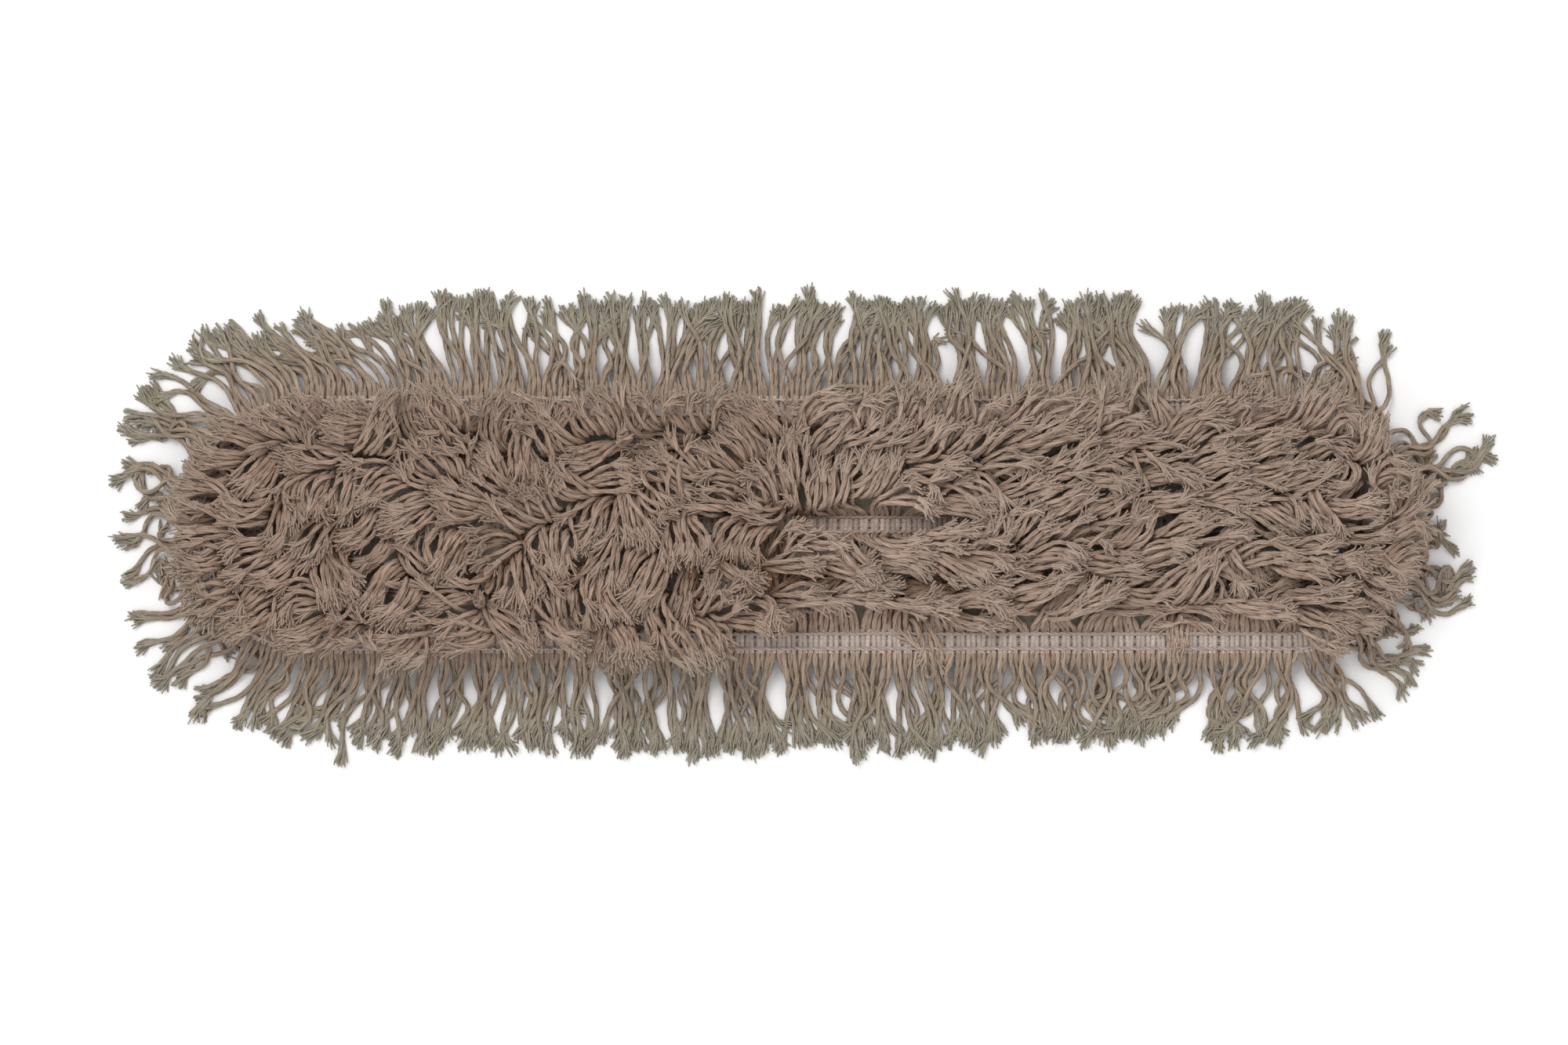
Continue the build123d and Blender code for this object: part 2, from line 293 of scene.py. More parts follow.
# How the pile lies where no stroke says more, and how far bunches and legs turn from it, in radians
lie = {
    "halfAt": -8, "halfBlend": 12, "rightEndAt": 235, "rightEndBlend": 30,
    "left": 0.4, "right": (1.0, 0.35), "out": 0.3, "topEdge": (0.0, 3.0),
    "bunchTurn": 0.28, "bunchTurnLeft": 0.12, "bunchTurnEnd": 0.25, "bunchTurnFringe": 0.12,
    "legTurn": 0.09, "legTurnFringe": 0.24, "fan": 0.10, "fanLeft": 0.45,
}


# Every cut leg: its root, the way out of its header and the bunch that it lies in
def layLegs():
    parts = []
    bunches = 0
    for stem, name, side in (
        ("fringe", "outer", 1), ("outer_pile_inside", "outer", -1),
        ("middle_pile_outside", "middle", 1), ("middle_pile_inside", "middle", -1),
        ("centre_pile", "centre", 1), ("centre_pile", "centre", -1),
    ):
        place, out = rowFeet(name)
        count = len(place)
        bare = besideBare(*place.T) & (name == "outer")
        setback = np.where(bare, header["bareSetback"], header["setback"])
        sizes = rng.integers(*yarn["bunch" if stem == "fringe" else "pileBunch"], count)
        bunch = np.repeat(np.arange(count), sizes)[:count] + bunches
        bunches = bunch[-1] + 1
        parts.append({
            "stem": np.full(count, stem),
            "out": out * side,
            "root": place + out * side * (header["half"] - setback)[:, None],
            "floor": np.full(count, rows[name]["floor"]),
            "bunch": bunch,
        })
    legs = {key: np.concatenate([part[key] for part in parts]) for key in parts[0]}
    legs["fringe"] = legs["stem"] == "fringe"
    legs["edgePile"] = legs["stem"] == "outer_pile_inside"
    x = legs["root"][:, :1]
    legs["leftHalf"] = 1 / (1 + np.exp((x - lie["halfAt"]) / lie["halfBlend"]))
    legs["rightEnd"] = ease((x - lie["rightEndAt"]) / lie["rightEndBlend"])
    start = np.searchsorted(legs["bunch"], legs["bunch"])
    size = np.bincount(legs["bunch"])[legs["bunch"]]
    legs["inBunch"] = (2 * (np.arange(len(start)) - start) + 1) / size - 1
    middle = np.stack([np.bincount(legs["bunch"], legs["root"][:, axis]) for axis in (0, 1)], 1)
    legs["tuft"] = (middle / np.bincount(legs["bunch"])[:, None])[legs["bunch"]]
    legs["bunchTurn"] = rng.normal(0, 1, bunches)[legs["bunch"]]
    legs["bunchLift"] = rng.normal(0, 1, bunches)[legs["bunch"]]
    return legs


# How legs lie at the two ends: values in pairs are for the front and the back
endLegs = {
    "leftShorter": 8.5, "leftFrom": -0.55, "leftTucked": (0.38, 0.12), "rightFrom": (0.35, 0.18),
    "tuckedLength": 0.60, "tuckTurn": (0.7, 1.5), "tuckCurl": (0.3, 1.8),
    "bundleReach": 9.0, "bundled": 0.2, "bundleShorter": 0.05,
}


# How long each leg is: it is shorter where it is tucked in or curled
def cutLegs(legs):
    count = len(legs["root"])
    x, y = legs["root"].T
    length = np.where(
        legs["fringe"], rng.normal(yarn["leg"], yarn["legSpread"], count),
        rng.normal(yarn["pileLeg"], yarn["pileSpread"], count),
    )
    endward = np.where(legs["fringe"], legs["out"][:, 0], 0)
    length -= endLegs["leftShorter"] * np.maximum(-endward, 0) ** 6
    bundled = np.zeros(count)
    for px, py in rightBundles:
        far = ((legs["root"] - fromPhoto(px, py)) ** 2).sum(1)
        bundled = np.maximum(bundled, np.exp(-far / endLegs["bundleReach"] ** 2))
    atBack = (y > 0).astype(int)
    tucked = (endward > np.take(endLegs["rightFrom"], atBack)) & (bundled < endLegs["bundled"])
    chosen = rng.random(count) < np.take(endLegs["leftTucked"], atBack)
    tucked |= (endward < endLegs["leftFrom"]) & chosen
    length = np.where(tucked, endLegs["tuckedLength"], 1 - endLegs["bundleShorter"] * bundled) * length
    curled = legs["fringe"] & (y < 0) & (x > xAt(curly["from"]))
    length = np.where(curled, curly["length"] * length, length)
    legs["step"] = (length / (yarn["joints"] - 1))[:, None, None]
    legs["tucked"], legs["curled"] = tucked, curled


# Which way each leg was combed, and how much it curls, in radians
def combLegs(legs):
    count = len(legs["root"])
    x, y = legs["root"].T
    fringe, out, leftHalf = legs["fringe"], legs["out"], legs["leftHalf"]
    upDown = np.stack([np.zeros(count), np.sign(y)], 1)
    loose = lie["left"] * leftHalf * upDown + (1 - leftHalf) * lie["right"] + lie["out"] * out
    topEdge = (legs["edgePile"] & (y > 0))[:, None]
    loose = loose + np.where(topEdge, (1 - leftHalf) * lie["topEdge"], 0)
    pileWay = hollowWays(legs["tuft"], strokeWays(pileStrokes, pileComb, legs["tuft"], loose))
    fringeWay = strokeWays(fringeStrokes, fringeComb, legs["root"], out)
    way = np.where(fringe[:, None], fringeWay, pileWay)
    bunchTurn = lie["bunchTurn"] + lie["bunchTurnLeft"] * leftHalf + lie["bunchTurnEnd"] * legs["rightEnd"]
    bunchTurn = np.where(fringe, lie["bunchTurnFringe"], bunchTurn[:, 0])
    legTurn = np.where(fringe, lie["legTurnFringe"], lie["legTurn"])
    turn = np.arctan2(way[:, 1], way[:, 0]) + bunchTurn * legs["bunchTurn"]
    turn = turn + legTurn * rng.normal(0, 1, count)
    across = np.sign(np.cos(turn) * out[:, 1] - np.sin(turn) * out[:, 0])
    fan = np.where(fringe, 0.0, lie["fan"] + lie["fanLeft"] * leftHalf[:, 0])
    turn = turn + fan * legs["inBunch"] * across
    tuck = np.where(rng.random(count) < 0.5, -1, 1) * rng.uniform(*endLegs["tuckTurn"], count)
    turn = np.where(legs["tucked"], turn + tuck, turn)
    curl = np.where(legs["tucked"], tuck * rng.uniform(*endLegs["tuckCurl"], count), 0)
    legs["stray"] = np.zeros(count, bool)
    for px, py, degrees, curlDegrees in strays:
        far = ((legs["root"] - fromPhoto(px, py)) ** 2).sum(1)
        leg = np.where(fringe, far, np.inf).argmin()
        legs["stray"][leg] = True
        turn[leg] = math.radians(degrees)
        curl[leg] = math.radians(curlDegrees)
    legs["crossing"] = np.zeros(count, bool)
    for px, degrees in crossingTufts["at"]:
        over = legs["edgePile"] & (y < 0) & (np.abs(x - xAt(px)) < crossingTufts["reach"])
        legs["crossing"] |= over
        turned = math.radians(degrees) + crossingTufts["turn"] * rng.normal(0, 1, count)
        turn = np.where(over, turned, turn)
    return turn, curl


# How a leg bends on its way: places are shares of its length, angles are in radians
bends = {
    "straight": 0.04, "straightByRoom": 0.003, "curlFrom": 0.15,
    "turnOver": 0.34, "bareTurnOver": 0.42, "fringeTurnOver": 0.45, "strayTurnOver": 0.12,
    "wave": 0.24, "waveLeft": 0.12, "waveEnd": 0.30, "fringeWave": 0.28, "fringeWaveEnds": 2.5,
    "waveLeast": 0.5, "waveSpread": (2.0, 0.4), "waveGrows": 3, "phaseSpread": 0.4,
    "waveCount": (0.6, 1.3), "fringeWaveCount": (0.8, 1.9),
    "tipTurn": 0.28, "pileTip": 1.3, "tipFrom": 0.60,
}
rises = {
    "root": 1.15, "turnedRoot": 0.15, "turnedFrom": 1.5, "turnedOver": 1.2,
    "bareRoot": 0.72, "bareRootByRoom": 0.023,
    "tip": 0.15, "bunchTip": 0.20, "tipSpread": 0.15, "leftTip": 0.2, "fallFrom": 0.26, "fallOver": 0.52,
    "fringeRoot": 0.25, "fringeFall": 0.5, "strayRoot": 1.25, "strayFall": 1.6, "strayBend": 0.7,
    "wave": 0.12, "fringeWave": 0.05,
}


# The waves along each leg: how strong they are, where they start and how many they are
def wavesOf(legs):
    count, bunch = len(legs["root"]), legs["bunch"]
    fringe, curled = legs["fringe"][:, None], legs["curled"][:, None]
    strong = bends["wave"] + bends["waveLeft"] * legs["leftHalf"] + bends["waveEnd"] * legs["rightEnd"]
    uneven = bends["waveLeast"] + rng.gamma(*bends["waveSpread"], (count, 1))
    strong = np.where(fringe, bends["fringeWave"], strong) * uneven
    atEnds = bends["fringeWaveEnds"] * np.where(fringe, legs["out"][:, :1] ** 4, 0)
    strong = strong * (1 + atEnds + curly["wave"] * curled)
    phase = rng.uniform(0, 2 * math.pi, (count, 2))
    shared = rng.uniform(0, 2 * math.pi, (bunch[-1] + 1, 2))[bunch]
    phase = np.where(fringe, phase, shared + bends["phaseSpread"] * rng.normal(0, 1, (count, 2)))
    waves = rng.uniform(*bends["fringeWaveCount"], (count, 2))
    waves = np.where(fringe, waves, rng.uniform(*bends["waveCount"], (bunch[-1] + 1, 2))[bunch])
    return strong, phase, waves


# The shape that each leg was combed into, before the legs press on each other
def startShapes(legs):
    cutLegs(legs)
    turn, curl = combLegs(legs)
    count, joints = len(turn), yarn["joints"]
    fringe, stray = legs["fringe"][:, None], legs["stray"][:, None]
    along = np.linspace(0, 1, joints)[None, :]
    outTurn = np.arctan2(legs["out"][:, 1], legs["out"][:, 0])
    swing = (turn - outTurn + math.pi) % (2 * math.pi) - math.pi
    bare = legs["edgePile"] & besideBare(*legs["root"].T)
    room = np.where(bare, roomAt(legs["root"][:, 0]), 0)[:, None]
    straight = bends["straight"] + bends["straightByRoom"] * room
    turnOver = np.where(bare, bends["bareTurnOver"], bends["turnOver"])[:, None]
    swung = np.where(fringe, ease(along / bends["fringeTurnOver"]), ease((along - straight) / turnOver))
    swung = np.where(stray, ease(along / bends["strayTurnOver"]), swung)
    curled = curl[:, None] * np.clip(along - bends["curlFrom"], 0, 1)
    heading = outTurn[:, None] + swing[:, None] * swung + curled
    strong, phase, waves = wavesOf(legs)
    sideways, upward = [np.sin(phase[:, i, None] + 2 * math.pi * waves[:, i, None] * along) for i in (0, 1)]
    heading = heading + strong * sideways * ease(along * bends["waveGrows"])
    tipTurn = rng.normal(0, bends["tipTurn"], (count, 1)) * np.where(fringe, 1.0, bends["pileTip"])
    heading = heading + tipTurn * ease((along - bends["tipFrom"]) / (1 - bends["tipFrom"]))
    turned = np.clip((np.abs(swing) - rises["turnedFrom"]) / rises["turnedOver"], 0, 1)[:, None]
    first = rises["root"] + rises["turnedRoot"] * turned
    first = np.where(
        (bare & ~legs["crossing"])[:, None], rises["bareRoot"] - rises["bareRootByRoom"] * room, first,
    )
    last = rises["tip"] + rises["bunchTip"] * legs["bunchLift"] + rng.normal(0, rises["tipSpread"], count)
    last = last[:, None] + rises["leftTip"] * legs["leftHalf"]
    pileRise = first + (last - first) * ease((along - rises["fallFrom"]) / rises["fallOver"])
    rise = np.where(fringe, rises["fringeRoot"] - rises["fringeFall"] * along, pileRise)
    strayRise = rises["strayRoot"] - rises["strayFall"] * along ** rises["strayBend"]
    rise = np.where(stray, strayRise, rise)
    rise = rise + np.where(fringe, rises["fringeWave"], rises["wave"]) * upward
    flat = np.cos(rise)
    direction = np.stack([np.cos(heading) * flat, np.sin(heading) * flat, np.sin(rise)], 2)
    root = np.concatenate([legs["root"], (legs["floor"] + yarn["rootHeight"])[:, None]], 1)
    place = np.empty((count, joints, 3))
    place[:, 0] = root
    place[:, 1:] = root[:, None] + np.cumsum(direction[:, :-1] * legs["step"], 1)
    return place


# How the legs come to rest: lengths in millimetres, places as shares of a leg
rest = {
    "steps": 150, "report": 50, "keep": 0.86, "fastest": 1.0, "weight": 0.005, "fringeWeight": 0.10,
    "ceiling": 42.5, "press": 0.12, "rounds": 3, "stiff": 0.22, "ownJoints": 4, "push": 1.4,
    "grip": (2.0, 0.5), "pull": 0.006, "pullBend": 0.72, "fringePull": 0.009,
    "morePull": 1.3, "leftPull": 1.3, "barePullFrom": 0.3, "barePullOver": 0.3,
    "even": 2.2, "evenMost": 0.5, "smooth": 2,
}
halfNeighbours = [(0, 0, 0)] + [
    (i, j, k) for i in (-1, 0, 1) for j in (-1, 0, 1) for k in (-1, 0, 1) if (i, j, k) > (0, 0, 0)
]


# Moves every two joints that are nearer than the gap apart
def pushApart(place, gap):
    joints = place.shape[1]
    flat = place.reshape(-1, 3)
    cell = np.floor(flat / gap).astype(np.int64)
    cell -= cell.min(0) - 1
    size = cell.max(0) + 2
    key = (cell[:, 0] * size[1] + cell[:, 1]) * size[2] + cell[:, 2]
    order = np.argsort(key, kind="stable")
    sortedKey = key[order]
    starts = np.concatenate([[0], np.cumsum(np.bincount(key, minlength=int(np.prod(size)) + 1))])
    index = np.arange(len(flat))
    firsts, seconds = [], []
    for i, j, k in halfNeighbours:
        other = sortedKey + (i * size[1] + j) * size[2] + k
        begin, end = starts[other], starts[other + 1]
        if (i, j, k) == (0, 0, 0):
            begin = index + 1
        number = np.maximum(end - begin, 0)
        offset = np.arange(int(number.sum())) - np.repeat(np.cumsum(number) - number, number)
        firsts.append(np.repeat(index, number))
        seconds.append(np.repeat(begin, number) + offset)
    a, b = order[np.concatenate(firsts)], order[np.concatenate(seconds)]
    apart = flat[a] - flat[b]
    far = np.einsum("ij,ij->i", apart, apart)
    sameLeg = (a // joints == b // joints) & (np.abs(a - b) < rest["ownJoints"])
    close = (far < gap * gap) & ~sameLeg
    a, b, apart, far = a[close], b[close], apart[close], np.sqrt(far[close]) + 1e-6
    push = apart * (0.5 * (gap - far) / far)[:, None]
    hits = np.bincount(a, minlength=len(flat)) + np.bincount(b, minlength=len(flat))
    moved = np.empty_like(flat)
    for axis in range(3):
        moved[:, axis] = np.bincount(a, push[:, axis], len(flat)) - np.bincount(b, push[:, axis], len(flat))
    moved *= (rest["push"] / np.maximum(hits, rest["push"]))[:, None]
    return place + moved.reshape(place.shape), len(a)


# The pile spreads from where it is thick to where it is thin, up to an uneven edge
evening = {
    "cell": 3.0, "edge": 7, "edgeWave": 6, "edgeLengths": (11, 29), "edgeShift": 2, "parted": 2, "full": 0.9,
    "blurs": 2,
}


def evenOut(place, pile):
    cell, radius = evening["cell"], rows["outer"]["radius"]
    size = np.ceil(np.array([2 * (straightHalf + halfWidth), 2 * halfWidth]) / cell).astype(int) + 2
    spot = np.floor((place[..., :2] + size * cell / 2) / cell).astype(int)
    spot = np.clip(spot, 0, size - 1)
    flat = spot[..., 0] * size[1] + spot[..., 1]
    thick = np.bincount(flat[pile, yarn["joints"] // 2:].ravel(), minlength=size[0] * size[1])
    thick = thick.reshape(size).astype(float)
    x, y = [(np.arange(n) + 0.5 - n / 2) * cell for n in size]
    short, long = evening["edgeLengths"]
    wave = evening["edgeWave"] * np.sin(x / short) * np.sin(x / long + evening["edgeShift"])
    x, y = x[:, None], y[None, :]
    fromAxis = axisDistance(x, y)
    inside = fromAxis < radius
    spared = fromAxis > (radius + evening["edge"] + wave)[:, None]
    spared |= besideBare(x, y) & (fromAxis > radius - header["half"] - roomAt(x))
    spared |= np.abs(y - parting["middle"]) < evening["parted"] * partingAt(x)
    thick[spared] = thick[inside].mean()
    for axis in (0, 1) * evening["blurs"]:
        thick = 0.5 * thick + 0.25 * (np.roll(thick, 1, axis) + np.roll(thick, -1, axis))
    mean = thick[inside].mean()
    slope = np.stack(np.gradient(np.minimum(thick, evening["full"] * mean)), 2).reshape(-1, 2) / mean
    return np.where(pile[:, None, None], -slope[flat], 0)


# Lets the legs come to rest on the head, on the floor and on each other
def settle(legs):
    place = startShapes(legs)
    last = place.copy()
    pinned = place[:, :2].copy()
    memory = place[:, 1:-1] - 0.5 * (place[:, :-2] + place[:, 2:])
    along = np.linspace(0, 1, yarn["joints"])[None, :]
    reach = along[..., None]
    bunchStart = np.nonzero(np.r_[True, np.diff(legs["bunch"]) != 0])[0]
    bunchSize = np.diff(np.r_[bunchStart, len(place)])
    fringe = legs["fringe"][:, None, None]
    crossing = legs["crossing"][:, None, None]
    weight = np.where(fringe | crossing, rest["fringeWeight"], rest["weight"])
    grip = np.repeat(rng.gamma(*rest["grip"], len(bunchStart)), bunchSize)[:, None, None]
    ragged = np.repeat(rng.normal(0, stop["ragged"], len(bunchStart)), bunchSize)[:, None]
    hang = stop["hang"] * rng.random((len(place), 1)) ** 2

    # The pile that the front stop holds back, and where the stop is for each joint
    loosePile = ~legs["fringe"] & ~legs["crossing"]
    barred = loosePile & besideBare(legs["root"][:, 0], -1)
    own = legs["edgePile"][:, None]
    share = np.where(own, stop["ownShare"] * ease(along / stop["ownOver"]), 1)[barred]
    hanging = hang * ease((along - stop["hangFrom"]) / (1 - stop["hangFrom"]))
    barrier = (header["half"] - rows["outer"]["radius"] + ragged - hanging)[barred]

    # How strongly each joint is drawn to the middle of its bunch
    fringePull = rest["fringePull"] * np.sin(math.pi * reach)
    pilePull = rest["pull"] * np.sin(rest["pullBend"] * math.pi * reach)
    pull = np.where(crossing, 0, np.where(fringe, fringePull, pilePull) * grip)
    pull = pull * np.where(fringe, 1, rest["morePull"] + rest["leftPull"] * legs["leftHalf"][..., None])
    barePull = pull * ease((reach - rest["barePullFrom"]) / rest["barePullOver"])
    pull = np.where((own & barred[:, None])[..., None], barePull, pull)
    side = np.where(legs["root"][:, 1] > parting["middle"], 1, -1)[:, None] * ~legs["fringe"][:, None]

    for tick in range(rest["steps"]):
        drift = np.clip((place - last) * rest["keep"], -rest["fastest"], rest["fastest"])
        last = place.copy()
        place = place + drift
        place[..., 2:] -= weight
        place[..., 2] -= rest["press"] * np.maximum(place[..., 2] - rest["ceiling"], 0)
        middle = np.add.reduceat(place, bunchStart, 0) / bunchSize[:, None, None]
        place += pull * (np.repeat(middle, bunchSize, 0) - place)
        for _ in range(rest["rounds"]):
            bend = 0.5 * (place[:, :-2] + place[:, 2:]) + memory - place[:, 1:-1]
            place[:, 1:-1] += rest["stiff"] * bend
            place[:, :2] = pinned
            for odd in (0, 1):
                right = place[:, odd + 1::2]
                left = place[:, odd:-1:2][:, :right.shape[1]]
                link = right - left
                long = np.linalg.norm(link, axis=2, keepdims=True) + 1e-6
                fix = 0.5 * link * (1 - legs["step"] / long)
                left += fix
                right -= fix
            place[:, :2] = pinned
        spread = rest["even"] * reach * evenOut(place, loosePile)
        place[..., :2] += np.clip(spread, -rest["evenMost"], rest["evenMost"])
        place, hits = pushApart(place, yarn["gap"])
        ground = groundAt(place[..., 0], place[..., 1]) + yarn["radius"]
        place[..., 2] = np.maximum(place[..., 2], ground)
        low = barrier + share * roomAt(place[barred, :, 0])
        low += stop["wave"] * np.sin(place[barred, :, 0] / stop["waveLength"])
        place[barred, :, 1] += stop["firm"] * np.maximum(low - place[barred, :, 1], 0)
        above = np.maximum(place[..., 2] - rows["centre"]["top"], 0)
        past = partingAt(place[..., 0]) * (1 + parting["open"] * above)
        past = (past + ragged - side * (place[..., 1] - parting["middle"])) * (past > 0)
        place[..., 1] += side * np.clip(parting["firm"] * past, 0, parting["most"])
        place[:, :2] = pinned
        if tick % rest["report"] == 0:
            print("settling yarn", tick, "touching pairs", hits, "top", round(place[..., 2].max(), 1))
    for _ in range(rest["smooth"]):
        place[:, 1:-1] += 0.25 * (place[:, :-2] + place[:, 2:] - 2 * place[:, 1:-1])
    return place


legs = layLegs()
legPlace = settle(legs)
print("legs", len(legPlace), "bunches", legs["bunch"][-1] + 1, "top", round(legPlace[..., 2].max(), 1))


# Materials
gloss = 0.12


def newMaterial(name, roughness):
    material = bpy.data.materials.new(name)
    material.use_nodes = True
    shader = material.node_tree.nodes["Principled BSDF"]
    shader.inputs["Roughness"].default_value = roughness
    shader.inputs["Specular IOR Level"].default_value = gloss
    return material, material.node_tree, shader


def addNode(tree, kind, links=None, values=None, **settings):
    node = tree.nodes.new("ShaderNode" + kind)
    for key, value in settings.items():
        setattr(node, key, value)
    for socket, value in (values or {}).items():
        node.inputs[socket].default_value = value
    for socket, source in (links or {}).items():
        tree.links.new(source, node.inputs[socket])
    return node


def calc(tree, operation, *terms):
    node = tree.nodes.new("ShaderNodeMath")
    node.operation = operation
    for socket, term in zip(node.inputs, terms):
        if isinstance(term, (int, float)):
            socket.default_value = term
        else:
            tree.links.new(term, socket)
    return node.outputs[0]


# A colour between dark and light, and a relief, by the same texture
def addColours(tree, texture, limits, dark, light):
    share = addNode(tree, "MapRange", {0: texture}, {1: limits["darkest"], 2: limits["palest"]})
    return addNode(tree, "Mix", {0: share.outputs[0]}, {6: dark, 7: light}, data_type="RGBA").outputs[2]


def addRelief(tree, texture, shader, strength, depth):
    bump = addNode(tree, "Bump", {"Height": texture}, {"Strength": strength, "Distance": depth})
    tree.links.new(bump.outputs[0], shader.inputs["Normal"])


# Cotton that is spun along each strand, with its fibres at a slant
spun = {
    "streaks": 9.0, "runs": 3.0, "slant": 1.3, "tintSpread": 40.0,
    "roughness": 0.95, "detail": 3.0, "darkest": 0.36, "palest": 0.64, "bump": 0.7,
}


def spunCotton(name, light, dark, bumpDepth):
    material, tree, shader = newMaterial(name, spun["roughness"])
    uv = addNode(tree, "UVMap", uv_map="UVMap")
    split = addNode(tree, "SeparateXYZ", {0: uv.outputs[0]})
    seed = addNode(tree, "Attribute", attribute_name="seed")
    tint = addNode(tree, "Attribute", attribute_name="shade")
    run, girth = split.outputs[0], split.outputs[1]
    slanted = calc(tree, "ADD", girth, calc(tree, "MULTIPLY", run, spun["slant"]))
    spot = addNode(tree, "CombineXYZ", {
        0: calc(tree, "MULTIPLY", run, spun["runs"]),
        1: calc(tree, "MULTIPLY", slanted, spun["streaks"]),
        2: calc(tree, "MULTIPLY", seed.outputs["Fac"], spun["tintSpread"]),
    })
    grain = {"Scale": 1.0, "Detail": spun["detail"]}
    fibres = addNode(tree, "TexNoise", {"Vector": spot.outputs[0]}, grain)
    colour = addColours(tree, fibres.outputs[0], spun, dark, light)
    # times the shade attribute: each tube's tint, and on the yarn and the centre header also painted shade
    # and painted light
    shade = addNode(
        tree, "Mix", {6: colour, 7: tint.outputs["Color"]}, {0: 1.0},
        data_type="RGBA", blend_type="MULTIPLY",
    )
    tree.links.new(shade.outputs[2], shader.inputs["Base Color"])
    addRelief(tree, fibres.outputs[0], shader, spun["bump"], bumpDepth)
    return material


yarnMaterial = spunCotton("cottonYarn", (0.50, 0.375, 0.302, 1), (0.262, 0.182, 0.135, 1), 0.0006)
endMaterial = spunCotton("cutEnds", (0.53, 0.41, 0.338, 1), (0.31, 0.23, 0.179, 1), 0.0002)


def addObject(name, data):
    made = bpy.data.objects.new(name, data)
    bpy.context.scene.collection.objects.link(made)
    return made


def meshFrom(name, shape):
    mesh = bpy.data.meshes.new(name)
    shape.to_mesh(mesh)
    shape.free()
    return mesh


# A mesh of tubes along paths of equal point counts, in millimetres
def tubes(name, paths, radii, looped=False, roundness=0):
    curve = bpy.data.curves.new(name, "CURVE")
    curve.dimensions = "3D"
    curve.bevel_depth = mm
    curve.bevel_resolution = roundness
    curve.use_fill_caps = not looped
    for path, radius in zip(paths, np.broadcast_to(radii, paths.shape[:2])):
        spline = curve.splines.new("POLY")
        spline.points.add(len(path) - 1)
        spline.points.foreach_set("co", np.c_[path * mm, np.ones(len(path))].ravel())
        spline.points.foreach_set("radius", radius.copy())
        spline.use_smooth = True
        spline.use_cyclic_u = looped
    holder = addObject(name, curve)
    mesh = bpy.data.meshes.new_from_object(holder)
    bpy.data.objects.remove(holder)
    bpy.data.curves.remove(curve)
    return mesh


# How the yarn's colour is changed, as factors of red, green and blue: painted shade and painted light in the
# pile, and a greyer tone along the fringe
paintedShadeAndTone = {
    "cell": 4.0, "skin": 7.0, "depth": 16.0, "blend": 12,
    # painted shade: yarn buried under other yarn is redder and less green and blue, for the brown of the
    # shade between the strands
    "buriedPaintedShade": (1.11, 0.93, 0.77), "inner": 30.0,  # redder where it is buried under other yarn
    # painted shade: the left half of the pile is darker, for the shade in its gaps between upright tufts
    "left": (0.92, 0.89, 0.87), "leftFrom": 0.5, "leftOver": 60,  # darker in the left half of the pile
    "outside": (0.92, 0.96, 0.94), "ends": (0.88, 1.00, 0.99), "reach": 50.0,  # greyer along the fringe
    # painted light: the yarn by the bare stretches of header and by the parting is paler, as if lit there
    "beside": 0.16, "besideReach": 14.0,  # paler by the bare stretches of header
}


# The height of the yarn's top over each place, as a grid of cells, which tells how far yarn is buried under
# other yarn, for its painted shade
def yarnTops(place):
    half = np.ceil(np.abs(place[..., :2]).max((0, 1)) / paintedShadeAndTone["cell"]).astype(int) + 2
    tops = np.zeros(2 * half)
    spot = np.floor(place[..., :2] / paintedShadeAndTone["cell"]).astype(int) + half
    np.maximum.at(tops, (spot[..., 0].ravel(), spot[..., 1].ravel()), place[..., 2].ravel())
    for axis in (0, 1, 0, 1):
        tops = np.maximum(tops, np.maximum(np.roll(tops, 1, axis), np.roll(tops, -1, axis)))
    return tops, half


tops, topsHalf = yarnTops(legPlace)


def tinted(share, tint):
    return 1 + share[:, None] * (np.array(tint) - 1)


# Painted shade and painted light for each vertex of a mesh of yarn, with the greyer tone along the fringe
def yarnPaintedShadeAndTone(mesh):
    spot = np.empty(3 * len(mesh.vertices), np.float32)
    mesh.vertices.foreach_get("co", spot)
    x, y, z = spot.reshape(-1, 3).T / mm
    cell = np.floor(np.stack([x, y], 1) / paintedShadeAndTone["cell"]).astype(int) + topsHalf
    cell = np.clip(cell, 0, 2 * topsHalf - 1)
    buried = ease((tops[cell[:, 0], cell[:, 1]] - z - paintedShadeAndTone["skin"]) / paintedShadeAndTone["depth"])
    fromAxis = axisDistance(x, y)
    fromOuter = fromAxis - rows["outer"]["radius"]
    outside = ease(fromOuter / paintedShadeAndTone["blend"])
    away = ease((fromAxis - halfWidth) / paintedShadeAndTone["reach"])
    inner = 1 - ease((fromOuter + paintedShadeAndTone["inner"]) / paintedShadeAndTone["blend"])
    parted = np.exp(-(((y - parting["middle"]) / paintedShadeAndTone["besideReach"]) ** 2)) * (partingAt(x) > 0)
    beside = np.exp(-((fromOuter / paintedShadeAndTone["besideReach"]) ** 2)) * besideBare(x, y)
    leftPaintedShade = (1 - outside) * ease(paintedShadeAndTone["leftFrom"] - x / paintedShadeAndTone["leftOver"])
    # painted shade where the yarn is buried, but not by the parting
    shade = tinted(buried * (inner * (1 - parted)), paintedShadeAndTone["buriedPaintedShade"])
    # painted light by the bare header and by the parting
    shade *= (1 + paintedShadeAndTone["beside"] * (beside + parted))[:, None]
    # painted shade over the left half of the pile
    shade = shade * tinted(leftPaintedShade, paintedShadeAndTone["left"])
    return shade * tinted(outside, paintedShadeAndTone["outside"]) * tinted(away, paintedShadeAndTone["ends"])


